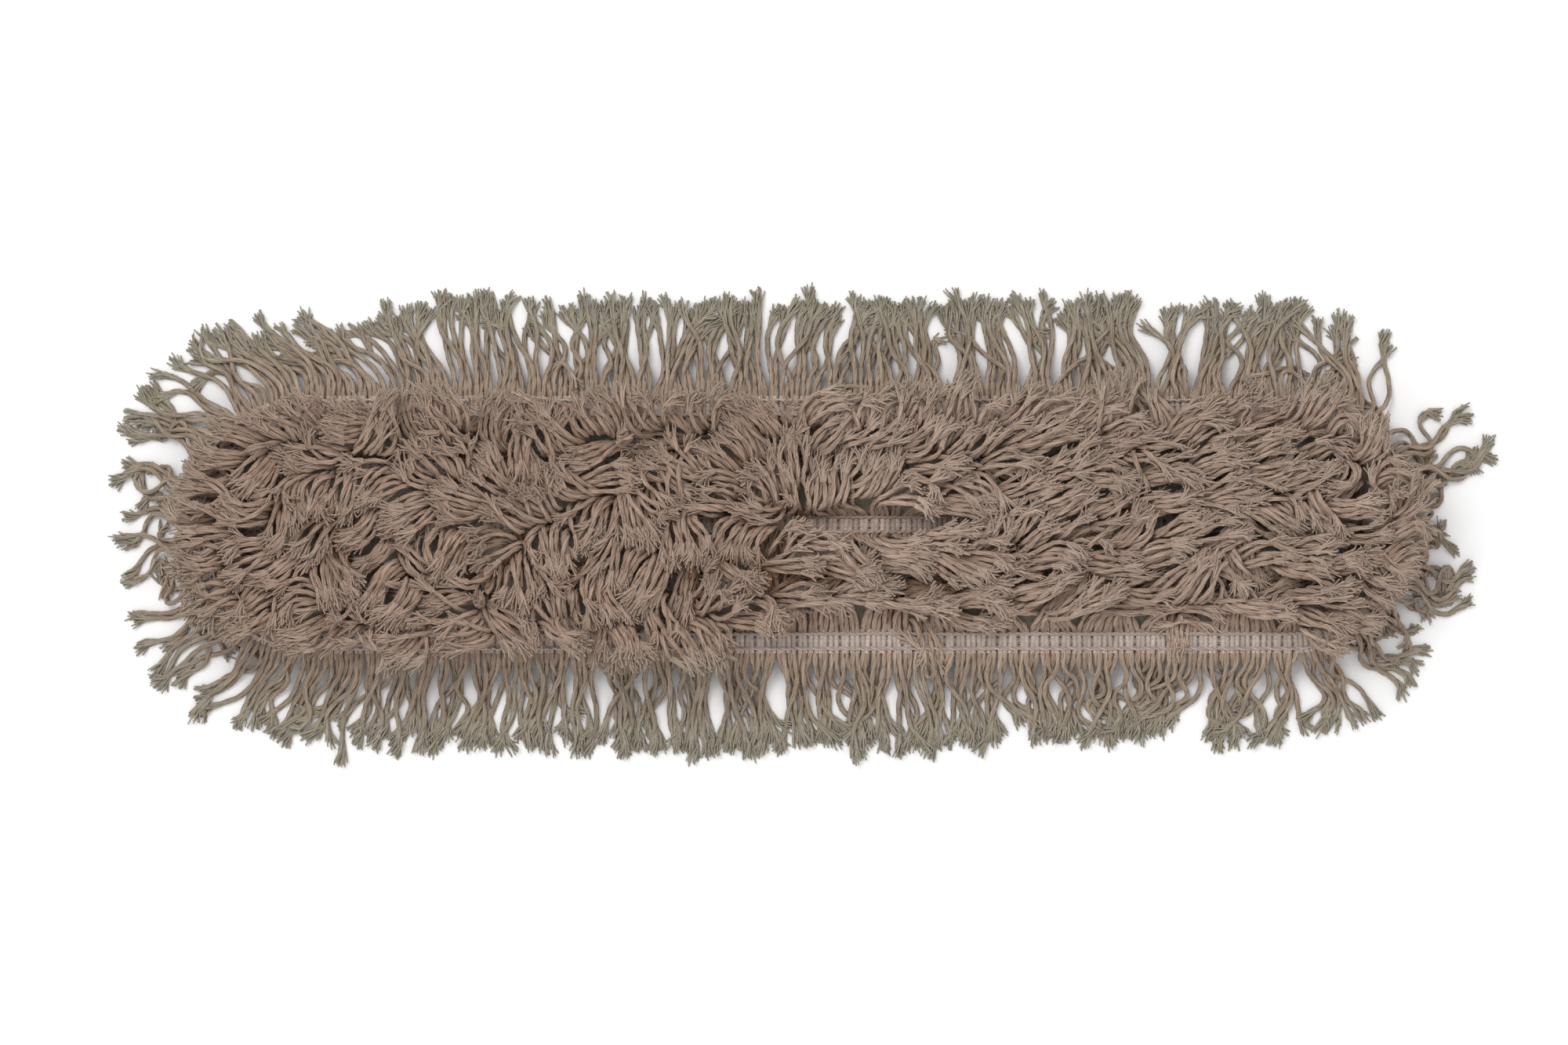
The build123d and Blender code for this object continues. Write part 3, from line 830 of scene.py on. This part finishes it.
# Gives each tube of a mesh its own tint, times a tone, which on the yarn and the centre header holds painted
# shade and painted light
def tintTubes(mesh, tints, tone=1.0):
    each = len(mesh.vertices) // len(tints)
    tint = np.repeat(tints, each).astype(np.float32)
    mesh.attributes.new("seed", "FLOAT", "POINT").data.foreach_set("value", tint)
    shade = np.ones((len(tint), 4), np.float32)
    shade[:, :3] = tint[:, None] * tone
    mesh.attributes.new("shade", "FLOAT_COLOR", "POINT").data.foreach_set("color", shade.ravel())


# Two directions square to each path, carried along it without a twist
def framesOf(path):
    tangent = unit(np.gradient(path, axis=1))
    normal = np.empty_like(path)
    carried = np.cross(tangent[:, 0], [0.0, 0.0, 1.0])
    for i in range(path.shape[1]):
        carried = unit(carried - (carried * tangent[:, i]).sum(1, keepdims=True) * tangent[:, i])
        normal[:, i] = carried
    return tangent, normal, np.cross(tangent, normal)


def joinMeshes(meshes):
    shape = bmesh.new()
    for slot, mesh in enumerate(meshes):
        before = len(shape.faces)
        shape.from_mesh(mesh)
        shape.faces.ensure_lookup_table()
        for face in shape.faces[before:]:
            face.material_index = slot
    return meshFrom(meshes[0].name, shape)


# Each piece takes the place of the CAD node that it is named after
def addPiece(node, suffix, mesh, slot, *materials):
    for material in materials:
        mesh.materials.append(material)
    piece = addObject(node + "_" + suffix, mesh)
    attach(piece, "root")
    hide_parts(node)
    return piece


strand = {
    "plies": 3,
    "plyRadius": 0.85,
    "plyStart": (1.12, 1.12, 1.08, 1.04),  # thicker at the header, thinner at the end
    "plyEnd": (0.95, 0.8, 0.6, 0.3),
    "plyOffset": 0.55,
    "loosened": 0.9,
    "turnLength": 26.0,
    "plyShare": 0.90,
    "endShare": 0.72,
    "pileJoints": 16,
    "tint": 0.07,
    "tintLimits": (0.80, 1.18),
}
# The brush of fibres at the cut end of a leg
brush = {
    "fibres": 6, "radii": (0.50, 0.46, 0.36), "flare": 3.2, "pileFlare": 4.4, "outwards": 0.8,
    "narrowest": 0.03, "flatten": (1, 1, 0.5), "reach": (0.3, 0.8), "opened": (0.2, 0.4), "lowest": 0.75,
}


# The same paths with another count of points
def resample(path, count):
    at = np.linspace(0, path.shape[1] - 1, count)
    low = np.minimum(at.astype(int), path.shape[1] - 2)
    share = (at - low)[None, :, None]
    return path[:, low] * (1 - share) + path[:, low + 1] * share


# The legs of one CAD node: plies twisted together, coming apart into a brush at the cut end
def yarnMesh(node, path):
    count, joints = path.shape[:2]
    flare = brush["pileFlare" if "pile" in node else "flare"]
    plyPoints = round(strand["plyShare"] * joints)
    endFrom = round(strand["endShare"] * joints)
    tangent, normal, binormal = framesOf(path)
    along = np.linspace(0, 1, joints)[None, :]
    loosened = strand["loosened"] * ease((along - strand["endShare"]) / (1 - strand["endShare"]))
    offset = (strand["plyOffset"] + loosened)[..., None]
    phase = rng.uniform(0, 2 * math.pi, (count, 1))
    tints = rng.normal(1.0, strand["tint"], count).clip(*strand["tintLimits"])
    plyRadii = np.full(plyPoints, strand["plyRadius"])
    plyRadii[:len(strand["plyStart"])] *= strand["plyStart"]
    plyRadii[-len(strand["plyEnd"]):] *= strand["plyEnd"]
    plyPaths, fibrePaths = [], []
    for ply in range(strand["plies"]):
        turn = phase + 2 * math.pi * (ply / strand["plies"] + along * yarn["leg"] / strand["turnLength"])
        sideways = normal * np.cos(turn)[..., None] + binormal * np.sin(turn)[..., None]
        plyPath = path + offset * sideways
        plyPaths.append(plyPath[:, :plyPoints])
        for _ in range(brush["fibres"]):
            splay = unit(rng.normal(0, 1, (count, 3)) + brush["outwards"] * sideways[:, -1])
            splay *= flare * np.sqrt(rng.uniform(brush["narrowest"], 1, (count, 1))) * brush["flatten"]
            reach = tangent[:, -1] * rng.normal(*brush["reach"], (count, 1))
            spine = plyPath[:, [endFrom, (endFrom + joints) // 2, joints - 1]]
            for point, opened in enumerate(brush["opened"]):
                spine[:, point] += opened * splay
            spine[:, -1] += splay + reach
            spine[..., 2] = np.maximum(spine[..., 2], brush["lowest"])
            fibrePaths.append(spine)
    body = tubes(node, np.concatenate(plyPaths), plyRadii)
    # each tube's tint, times the painted shade, painted light and fringe tone at its place
    tintTubes(body, np.tile(tints, len(plyPaths)), yarnPaintedShadeAndTone(body))
    ends = tubes(node, np.concatenate(fibrePaths), np.array(brush["radii"]))
    tintTubes(ends, np.tile(tints, len(fibrePaths)), yarnPaintedShadeAndTone(ends))
    return joinMeshes([body, ends])


# The CAD node that each leg belongs to: round the ends the fringe is in three parts
endTurn = 30  # degrees


def nodeOf(stem, root, out):
    x, y = root
    if stem == "centre_pile":
        return stem + ("_front" if out[1] < 0 else "_back")
    if stem != "fringe" or abs(x) <= straightHalf:
        return stem + ("_front" if y < 0 else "_back")
    turn = math.degrees(math.atan2(y, abs(x) - straightHalf))
    part = "_end" if abs(turn) < endTurn else "_front" if y < 0 else "_back"
    return stem + ("_left" if x < 0 else "_right") + part


legNodes = np.array([nodeOf(*leg) for leg in zip(legs["stem"], legs["root"], legs["out"])])
for node in sorted(set(legNodes)):
    path = legPlace[legNodes == node]
    if "pile" in node:
        path = resample(path, strand["pileJoints"])
    mesh = yarnMesh(node, path)
    addPiece(node, "yarn", mesh, "cotton_yarn", yarnMaterial, endMaterial)
print("yarn made")

# Crocheted headers: ribs where the yarns cross, cords under them and fine threads along them
crochet = {
    "ribReach": 5.9,
    "ribRadius": 1.48,
    "ribHeight": 1.62,
    "ribDroop": 0.25,
    "ribPoints": 7,
    "uneven": 0.28,
    "ribTint": 0.08,
    # the centre header is warmer: painted shade, for the brown shade of the pile's parting round it
    "tone": {"centre": (1.02, 0.97, 0.93)},
    "cords": (-2.9, 0.0, 2.9),
    "cordRadius": 1.1,
    "cordTint": 0.9,
    "threads": (-1.1, 1.1),
    "threadRadius": 0.26,
    "threadHeight": 2.75,
    "threadWeave": 0.18,
    "threadTint": 0.06,
    "spacing": 1.9,
}


def lineAt(place, out, offset, height):
    flat = place + out * np.reshape(offset, (-1, 1))
    return np.c_[flat, np.broadcast_to(height, len(flat))]


def headerMesh(name):
    floor, looped = rows[name]["floor"], name != "centre"
    feet, out = rowFeet(name)
    across = np.linspace(-1, 1, crochet["ribPoints"])
    flat = feet[:, None] + out[:, None] * (across * crochet["ribReach"])[None, :, None]
    lean = rng.normal(0, crochet["uneven"], (2, len(feet), 1))
    flat += (lean[0] + lean[1] * across)[..., None] * (out[:, ::-1] * [-1, 1])[:, None]
    height = floor + crochet["ribHeight"] - crochet["ribDroop"] * across ** 4
    height = np.broadcast_to(height, flat.shape[:2])[..., None]
    ribs = tubes(name, np.concatenate([flat, height], 2), crochet["ribRadius"], roundness=1)
    # ribs get a random tint, and the centre header a painted shade tone
    tintTubes(ribs, rng.normal(1.0, crochet["ribTint"], len(feet)), crochet["tone"].get(name, 1.0))
    place, out = rowLine(name, crochet["spacing"])
    height = floor + crochet["cordRadius"]
    cords = np.array([lineAt(place, out, offset, height) for offset in crochet["cords"]])
    cordMesh = tubes(name, cords, crochet["cordRadius"], looped)
    tintTubes(cordMesh, np.full(len(cords), crochet["cordTint"]))
    weave = math.pi * np.arange(len(place))
    threads = []
    for i, offset in enumerate(crochet["threads"]):
        height = floor + crochet["threadHeight"] + crochet["threadWeave"] * np.cos(weave + math.pi * i)
        threads.append(lineAt(place, out, offset, height))
    threadMesh = tubes(name, np.array(threads), crochet["threadRadius"], looped)
    tintTubes(threadMesh, rng.normal(1.0, crochet["threadTint"], len(threads)))
    return joinMeshes([ribs, cordMesh, threadMesh])


# Two lines of chain stitch along each header
chain = {
    "offset": 3.7, "radius": 0.55, "sway": 0.45, "height": 0.3, "lift": 0.8, "period": 7.5, "spacing": 0.94,
    "tint": 0.04,
}


def chainMesh(name):
    place, out = rowLine(name, chain["spacing"])
    turns = round(len(place) * chain["spacing"] / chain["period"])
    phase = 2 * math.pi * turns * np.arange(len(place)) / len(place)
    lines = np.array([
        lineAt(
            place, out, side * chain["offset"] + chain["sway"] * np.sin(phase + half),
            rows[name]["top"] + chain["height"] + chain["lift"] * np.cos(phase + half),
        )
        for side in (-1, 1)
        for half in (0.0, math.pi)
    ])
    mesh = tubes(name + "Chain", lines, chain["radius"], name != "centre")
    tintTubes(mesh, rng.normal(1.0, chain["tint"], len(lines)))
    return mesh


headerMaterial = spunCotton("headerCotton", (0.53, 0.445, 0.395, 1), (0.46, 0.38, 0.335, 1), 0.0003)
threadMaterial = spunCotton("sewingThread", (0.49, 0.415, 0.37, 1), (0.38, 0.315, 0.28, 1), 0.0001)
seamMaterial = spunCotton("seamThread", (0.86, 0.82, 0.75, 1), (0.68, 0.63, 0.56, 1), 0.0001)
headers, chains = [], []
for name in rows:
    node, mesh = name + "_header", headerMesh(name)
    headers.append(addPiece(
        node, "crochet", mesh, "crocheted_header", headerMaterial, headerMaterial, threadMaterial,
    ))
    node, mesh = name + "_chain", chainMesh(name)
    chains.append(addPiece(node, "stitches", mesh, "sewing_thread", threadMaterial))
print("headers made")


# Plain-weave cloth: threads that pass over and under each other, by the place on the piece
woven = {
    "roughness": 0.9, "slubs": ((70, 1000, 70), (1000, 70, 70)), "weave": 0.35,
    "darkest": 0.55, "palest": 1.45, "bump": 0.6, "bumpDepth": 0.0002,
}


def wovenCloth(name, light, dark, pitch):
    material, tree, shader = newMaterial(name, woven["roughness"])
    place = addNode(tree, "TexCoord")
    split = addNode(tree, "SeparateXYZ", {0: place.outputs["Object"]})
    waves = []
    for axis in (0, 1):
        turns = calc(tree, "MULTIPLY", split.outputs[axis], math.pi / (pitch * mm))
        waves.append(calc(tree, "SINE", turns))
    crossing = calc(tree, "MULTIPLY", *waves)
    slubs = []
    for stretch in woven["slubs"]:
        along = addNode(tree, "Mapping", {0: place.outputs["Object"]}, {"Scale": stretch})
        slubs.append(addNode(tree, "TexNoise", {"Vector": along.outputs[0]}, {"Scale": 1.0}).outputs[0])
    mixed = calc(tree, "ADD", calc(tree, "MULTIPLY", crossing, woven["weave"]), calc(tree, "ADD", *slubs))
    tree.links.new(addColours(tree, mixed, woven, dark, light), shader.inputs["Base Color"])
    addRelief(tree, mixed, shader, woven["bump"], woven["bumpDepth"])
    return material


canvasMaterial = wovenCloth("canvas", (0.58, 0.52, 0.445, 1), (0.39, 0.34, 0.285, 1), 1.1)
tapeMaterial = wovenCloth("cottonTape", (0.66, 0.605, 0.52, 1), (0.50, 0.45, 0.375, 1), 0.8)


# Sweeps a profile of distances from the long axis and heights round the head, or round one end of it
sweep = {"turnSteps": 40, "step": 6.0, "merge": 0.02}


def sweepRound(profile, closed=False, end=0, mouth=0.0):
    shape = bmesh.new()
    first = mouth if end else -straightHalf
    points = [shape.verts.new((first, -radius, height)) for radius, height in profile]
    edges = [shape.edges.new(pair) for pair in zip(points, points[1:])]
    if closed:
        edges.append(shape.edges.new((points[-1], points[0])))
    edge = points + edges

    def straight(edge, length):
        count = max(2, round(abs(length) / sweep["step"]))
        return bmesh.ops.spin(
            shape, geom=edge, cent=(0, 0, 0), axis=(0, 0, 1), angle=0, steps=count,
            dvec=(length / count, 0, 0), use_duplicate=False,
        )["geom_last"]

    def turned(edge, x):
        return bmesh.ops.spin(
            shape, geom=edge, cent=(x, 0, 0), axis=(0, 0, 1), angle=math.pi, steps=sweep["turnSteps"],
            use_duplicate=False,
        )["geom_last"]

    edge = turned(straight(edge, straightHalf - first), straightHalf)
    edge = straight(edge, first - straightHalf)
    if not end:
        turned(edge, -straightHalf)
    bmesh.ops.remove_doubles(shape, verts=shape.verts[:], dist=sweep["merge"])
    if end < 0:
        bmesh.ops.scale(shape, vec=(-1, 1, 1), verts=shape.verts[:])
    bmesh.ops.recalc_face_normals(shape, faces=shape.faces[:])
    return shape


def clothMesh(name, shape):
    bmesh.ops.scale(shape, vec=(mm, mm, mm), verts=shape.verts[:])
    for face in shape.faces:
        face.smooth = True
    return meshFrom(name, shape)


def thicken(piece, thickness):
    shell = piece.modifiers.new("thickness", "SOLIDIFY")
    shell.thickness = thickness * mm
    shell.offset = 0.0


# Puts points along a line so that none is further than the step from the next
def fillIn(line, step):
    filled = [line[:1]]
    for here, there in zip(line, line[1:]):
        count = max(1, math.ceil(np.linalg.norm(there - here) / step))
        filled.append(here + (there - here) * (np.arange(1, count + 1) / count)[:, None])
    return np.concatenate(filled)


# Backing canvas, slightly puckered between the rows of sewing
canvas = {"rings": 14, "pucker": 0.22, "puckerLength": 21.0, "puckerReach": 50}
radii = np.linspace(0, halfWidth, canvas["rings"])
canvasProfile = [(r, canvasTop) for r in radii] + [(r, canvasBottom) for r in radii[::-1]]
shape = sweepRound(canvasProfile)
for vert in shape.verts:
    fromAxis = axisDistance(vert.co.x, vert.co.y)
    if fromAxis < canvas["puckerReach"]:
        free = math.sin(math.pi * (fromAxis / rows["middle"]["radius"] % 1))
        vert.co.z += canvas["pucker"] * free * math.sin(vert.co.x / canvas["puckerLength"] * 2 * math.pi)
backing = addPiece("backing_canvas", "cloth", clothMesh("canvas", shape), "canvas", canvasMaterial)

# Edge tape, folded over the rim of the canvas
tape = {"thickness": 0.6, "lap": 11.5, "clear": 0.02, "bend": 5, "foldOut": 0.9}
tapeLow, tapeHigh = boxOf("edge_tape")
lapRadius = halfWidth - tape["lap"]
foldMiddle = (tapeLow[2] + tapeHigh[2]) / 2
foldHalf = (tapeHigh[2] - tapeLow[2]) / 2
rimRadius = halfWidth + tape["clear"]
rimTop, rimBottom = canvasTop + tape["clear"], canvasBottom - tape["clear"]
tapeProfile = [(lapRadius, rimTop), (rimRadius, rimTop), (rimRadius, rimBottom), (lapRadius, rimBottom)]
tapeProfile.append((lapRadius, tapeLow[2]))
for i in range(tape["bend"] + 1):
    turn = math.pi * (i / tape["bend"] - 0.5)
    radius = tapeHigh[1] - tape["foldOut"] + tape["foldOut"] * math.cos(turn)
    tapeProfile.append((radius, foldMiddle + foldHalf * math.sin(turn)))
tapeProfile.append((lapRadius, tapeHigh[2]))
mesh = clothMesh("tape", sweepRound(tapeProfile, closed=True))
edgeTape = addPiece("edge_tape", "cloth", mesh, "cotton_tape", tapeMaterial)

# Pockets: a flange on the canvas, sloping walls and a bottom, puckered round the closed end
pocket = {
    "cloth": 1.2, "flange": 5.0, "wallRun": 9.0, "bend": 3.2, "bendPoints": 5, "step": 3.5,
    "still": 16.0, "stillOver": 25, "wallFrom": 0.3,
    "pleats": 13, "pleatDepth": 0.45, "pleatSlant": 0.09, "sag": 0.35, "sagLengths": (17, 11, 40),
}


def pocketLine(low, high):
    bottom, flange = low[2] + pocket["cloth"] / 2, high[2] - pocket["cloth"] / 2
    wallTop = high[1] - pocket["flange"]
    slope = pocket["wallRun"] / (high[2] - low[2])
    lean = pocket["cloth"] / 2 * math.hypot(slope, 1)
    wallAt = [wallTop - lean - (high[2] - height) * slope for height in (flange, bottom)]
    return np.array([(high[1], flange), (wallAt[0], flange), (wallAt[1], bottom), (0.0, bottom)])


# Rounds the corners of a line with a few points on a curve
def softBends(line):
    bent = [line[0]]
    for before, corner, after in zip(line, line[1:], line[2:]):
        into, away = unit(before - corner) * pocket["bend"], unit(after - corner) * pocket["bend"]
        for share in np.linspace(0, 1, pocket["bendPoints"]):
            bent.append(corner + into * (1 - share) ** 2 + away * share ** 2)
    return np.array(bent + [line[-1]])


def wrinkle(shape, end, mouth, line):
    bottom, flange = line[-1][1], line[0][1]
    along, across, slant = pocket["sagLengths"]
    for vert in shape.verts:
        x, y, z = vert.co
        onWall = z > bottom + pocket["wallFrom"]
        still = float(ease((abs(x) - mouth - pocket["still"]) / pocket["stillOver"]))
        wall = min(max((z - bottom) / (flange - bottom), 0), 1) if onWall else 0
        turn = math.atan2(y, max(abs(x) - straightHalf, 0) + 1e-6)
        pleat = pocket["pleatDepth"] * math.sin(math.pi * wall) * still
        pleat *= math.sin(pocket["pleats"] * turn + pocket["pleatSlant"] * abs(x))
        vert.co.x += end * pleat * math.cos(turn)
        vert.co.y += pleat * math.sin(turn)
        if not onWall:
            wave = math.sin(x / along) * math.sin(y / across + x / slant)
            vert.co.z += pocket["sag"] * still * (0.5 + wave)


# A hem is folded round the mouth of a pocket
hem = {"lap": 12.0, "thickness": 0.5, "edge": 0.4, "foldOut": 0.3, "foldTurn": 0.7, "step": 2.5, "top": 8.9}


def hemMesh(name, end, mouth, line):
    section = fillIn(softBends(line[::-1]), hem["step"])
    section = section[section[:, 1] < hem["top"]]
    section = np.concatenate([section[:0:-1] * [-1, 1], section])
    lean = unit(np.gradient(section, axis=0))
    normal = np.stack([-lean[:, 1], lean[:, 0]], 1)
    offset = (pocket["cloth"] + hem["thickness"]) / 2
    laps = (hem["lap"], hem["lap"] / 2, hem["edge"])
    turns = (-hem["foldTurn"], 0.0, hem["foldTurn"])
    fold = [(inwards, -offset) for inwards in laps]
    fold += [(-hem["foldOut"] * math.cos(turn), offset * math.sin(turn)) for turn in turns]
    fold += [(inwards, offset) for inwards in laps[::-1]]
    shape = bmesh.new()
    bmesh.ops.create_grid(shape, x_segments=len(fold) - 1, y_segments=len(section) - 1, size=1)
    for vert in shape.verts:
        column = round((vert.co.x + 1) / 2 * (len(fold) - 1))
        row = round((vert.co.y + 1) / 2 * (len(section) - 1))
        inwards, out = fold[column]
        y, z = section[row] + normal[row] * out
        vert.co = (end * (mouth + inwards), y, z)
    bmesh.ops.recalc_face_normals(shape, faces=shape.faces[:])
    width = 2 * hem["lap"] + math.pi * offset
    length = np.linalg.norm(np.diff(section, axis=0), axis=1).sum()
    return clothMesh(name, shape), (width * mm, length * mm)


# Rows of sewing, stitch by stitch: each stitch dips into the cloth at its ends
stitch = {
    "radius": 0.38, "length": 3.3, "pitch": 4.1, "edgeInset": 9.0, "tint": 0.05,
    "points": (-0.5, -0.3, 0.3, 0.5), "heights": (0.35, -0.12, -0.12, 0.35),
}


def addSeam(node, place, out):
    run = np.stack([-out[:, 1], out[:, 0]], 1)
    share = np.array(stitch["points"]) * stitch["length"]
    flat = place[:, None] + run[:, None] * share[None, :, None]
    height = np.broadcast_to(boxOf(node)[1][2] + np.array(stitch["heights"]), flat.shape[:2])
    mesh = tubes(node, np.concatenate([flat, height[..., None]], 2), stitch["radius"])
    tintTubes(mesh, rng.normal(1.0, stitch["tint"], len(place)))
    return addPiece(node, "stitches", mesh, "sewing_thread", seamMaterial)


rowSeams = [addSeam(name + "_row_seam", *rowLine(name, stitch["pitch"])) for name in rows]
edgeSeam = addSeam("edge_seam", *loopLine(halfWidth - stitch["edgeInset"], stitch["pitch"]))

# Both pockets with their hems and seams, and bar tacks beside the corners of their mouths
tack = {"length": 10.0, "width": 2.4, "setback": 6.0, "turns": 26, "radius": 0.36}
pockets, hems, pocketSeams, tackPaths = [], [], [], []
zigzag = np.arange(tack["turns"])
tackAlong = (zigzag / (tack["turns"] - 1) - 0.5) * tack["length"]
tackAcross = np.where(zigzag % 2, -0.5, 0.5) * (tack["width"] - 2 * tack["radius"])
tackHeight = np.full(tack["turns"], boxOf("pocket_bar_tacks")[1][2] - tack["radius"])
for end, side in ((-1, "left"), (1, "right")):
    node = "pocket_" + side
    low, high = boxOf(node)
    mouth = min(abs(low[0]), abs(high[0]))
    line = pocketLine(low, high)
    shape = sweepRound(fillIn(softBends(line), pocket["step"]), end=end, mouth=mouth)
    wrinkle(shape, end, mouth, line)
    pockets.append(addPiece(node, "cloth", clothMesh(node, shape), "canvas", canvasMaterial))
    thicken(pockets[-1], pocket["cloth"])
    mesh, flat = hemMesh("hem_" + side, end, mouth, line)
    hems.append(addPiece("pocket_hem_" + side, "cloth", mesh, "cotton_tape", tapeMaterial))
    thicken(hems[-1], hem["thickness"])
    flangeRadius = high[1] - pocket["flange"] / 2
    place, out = loopLine(flangeRadius, stitch["pitch"])
    kept = end * place[:, 0] > mouth + tack["setback"] + tack["length"] / 2
    pocketSeams.append(addSeam("pocket_seam_" + side, place[kept], out[kept]))
    for row in (-1, 1):
        x = end * (mouth + tack["setback"]) + tackAlong
        tackPaths.append(np.stack([x, row * flangeRadius + tackAcross, tackHeight], 1))
mesh = tubes("tacks", np.array(tackPaths), tack["radius"])
tintTubes(mesh, np.ones(len(tackPaths)))
barTacks = addPiece("pocket_bar_tacks", "stitches", mesh, "sewing_thread", seamMaterial)

print("cloth made")

# Floor, light and camera, in metres
studio = {
    "floorHalf": 4, "floorColour": (0.98, 0.98, 0.98, 1), "floorRoughness": 1.0, "world": 0.84,
    "lamp": 34, "lampSize": 1.4, "lampPlace": (-1.0, 1.15, 2.5), "lampTurn": (-24.7, -20, 0),
}
shape = bmesh.new()
bmesh.ops.create_grid(shape, x_segments=1, y_segments=1, size=studio["floorHalf"])
floor = addObject("floor", meshFrom("floor", shape))
floorMaterial, _, floorShader = newMaterial("paleFloor", studio["floorRoughness"])
floorShader.inputs["Base Color"].default_value = studio["floorColour"]
floor.data.materials.append(floorMaterial)

world = bpy.data.worlds.new("studio")
bpy.context.scene.world = world
world.use_nodes = True
world.node_tree.nodes["Background"].inputs["Color"].default_value = (1, 1, 1, 1)
world.node_tree.nodes["Background"].inputs["Strength"].default_value = studio["world"]
lamp = bpy.data.lights.new("keyLamp", "AREA")
lamp.energy = studio["lamp"]
lamp.size = studio["lampSize"]
lampObject = addObject("keyLamp", lamp)
lampObject.location = studio["lampPlace"]
lampObject.rotation_euler = [math.radians(turn) for turn in studio["lampTurn"]]

view = {"frameWidth": 0.772, "distance": 2.2, "level": 0.02, "centre": (-0.0085, 0.001), "sensor": 36}
camera = bpy.data.cameras.new("camera")
camera.sensor_width = view["sensor"]
camera.lens = camera.sensor_width * view["distance"] / view["frameWidth"]
cameraObject = addObject("camera", camera)
cameraObject.location = (*view["centre"], view["distance"] + view["level"])
bpy.context.scene.camera = cameraObject
bpy.context.scene.view_settings.view_transform = "Standard"
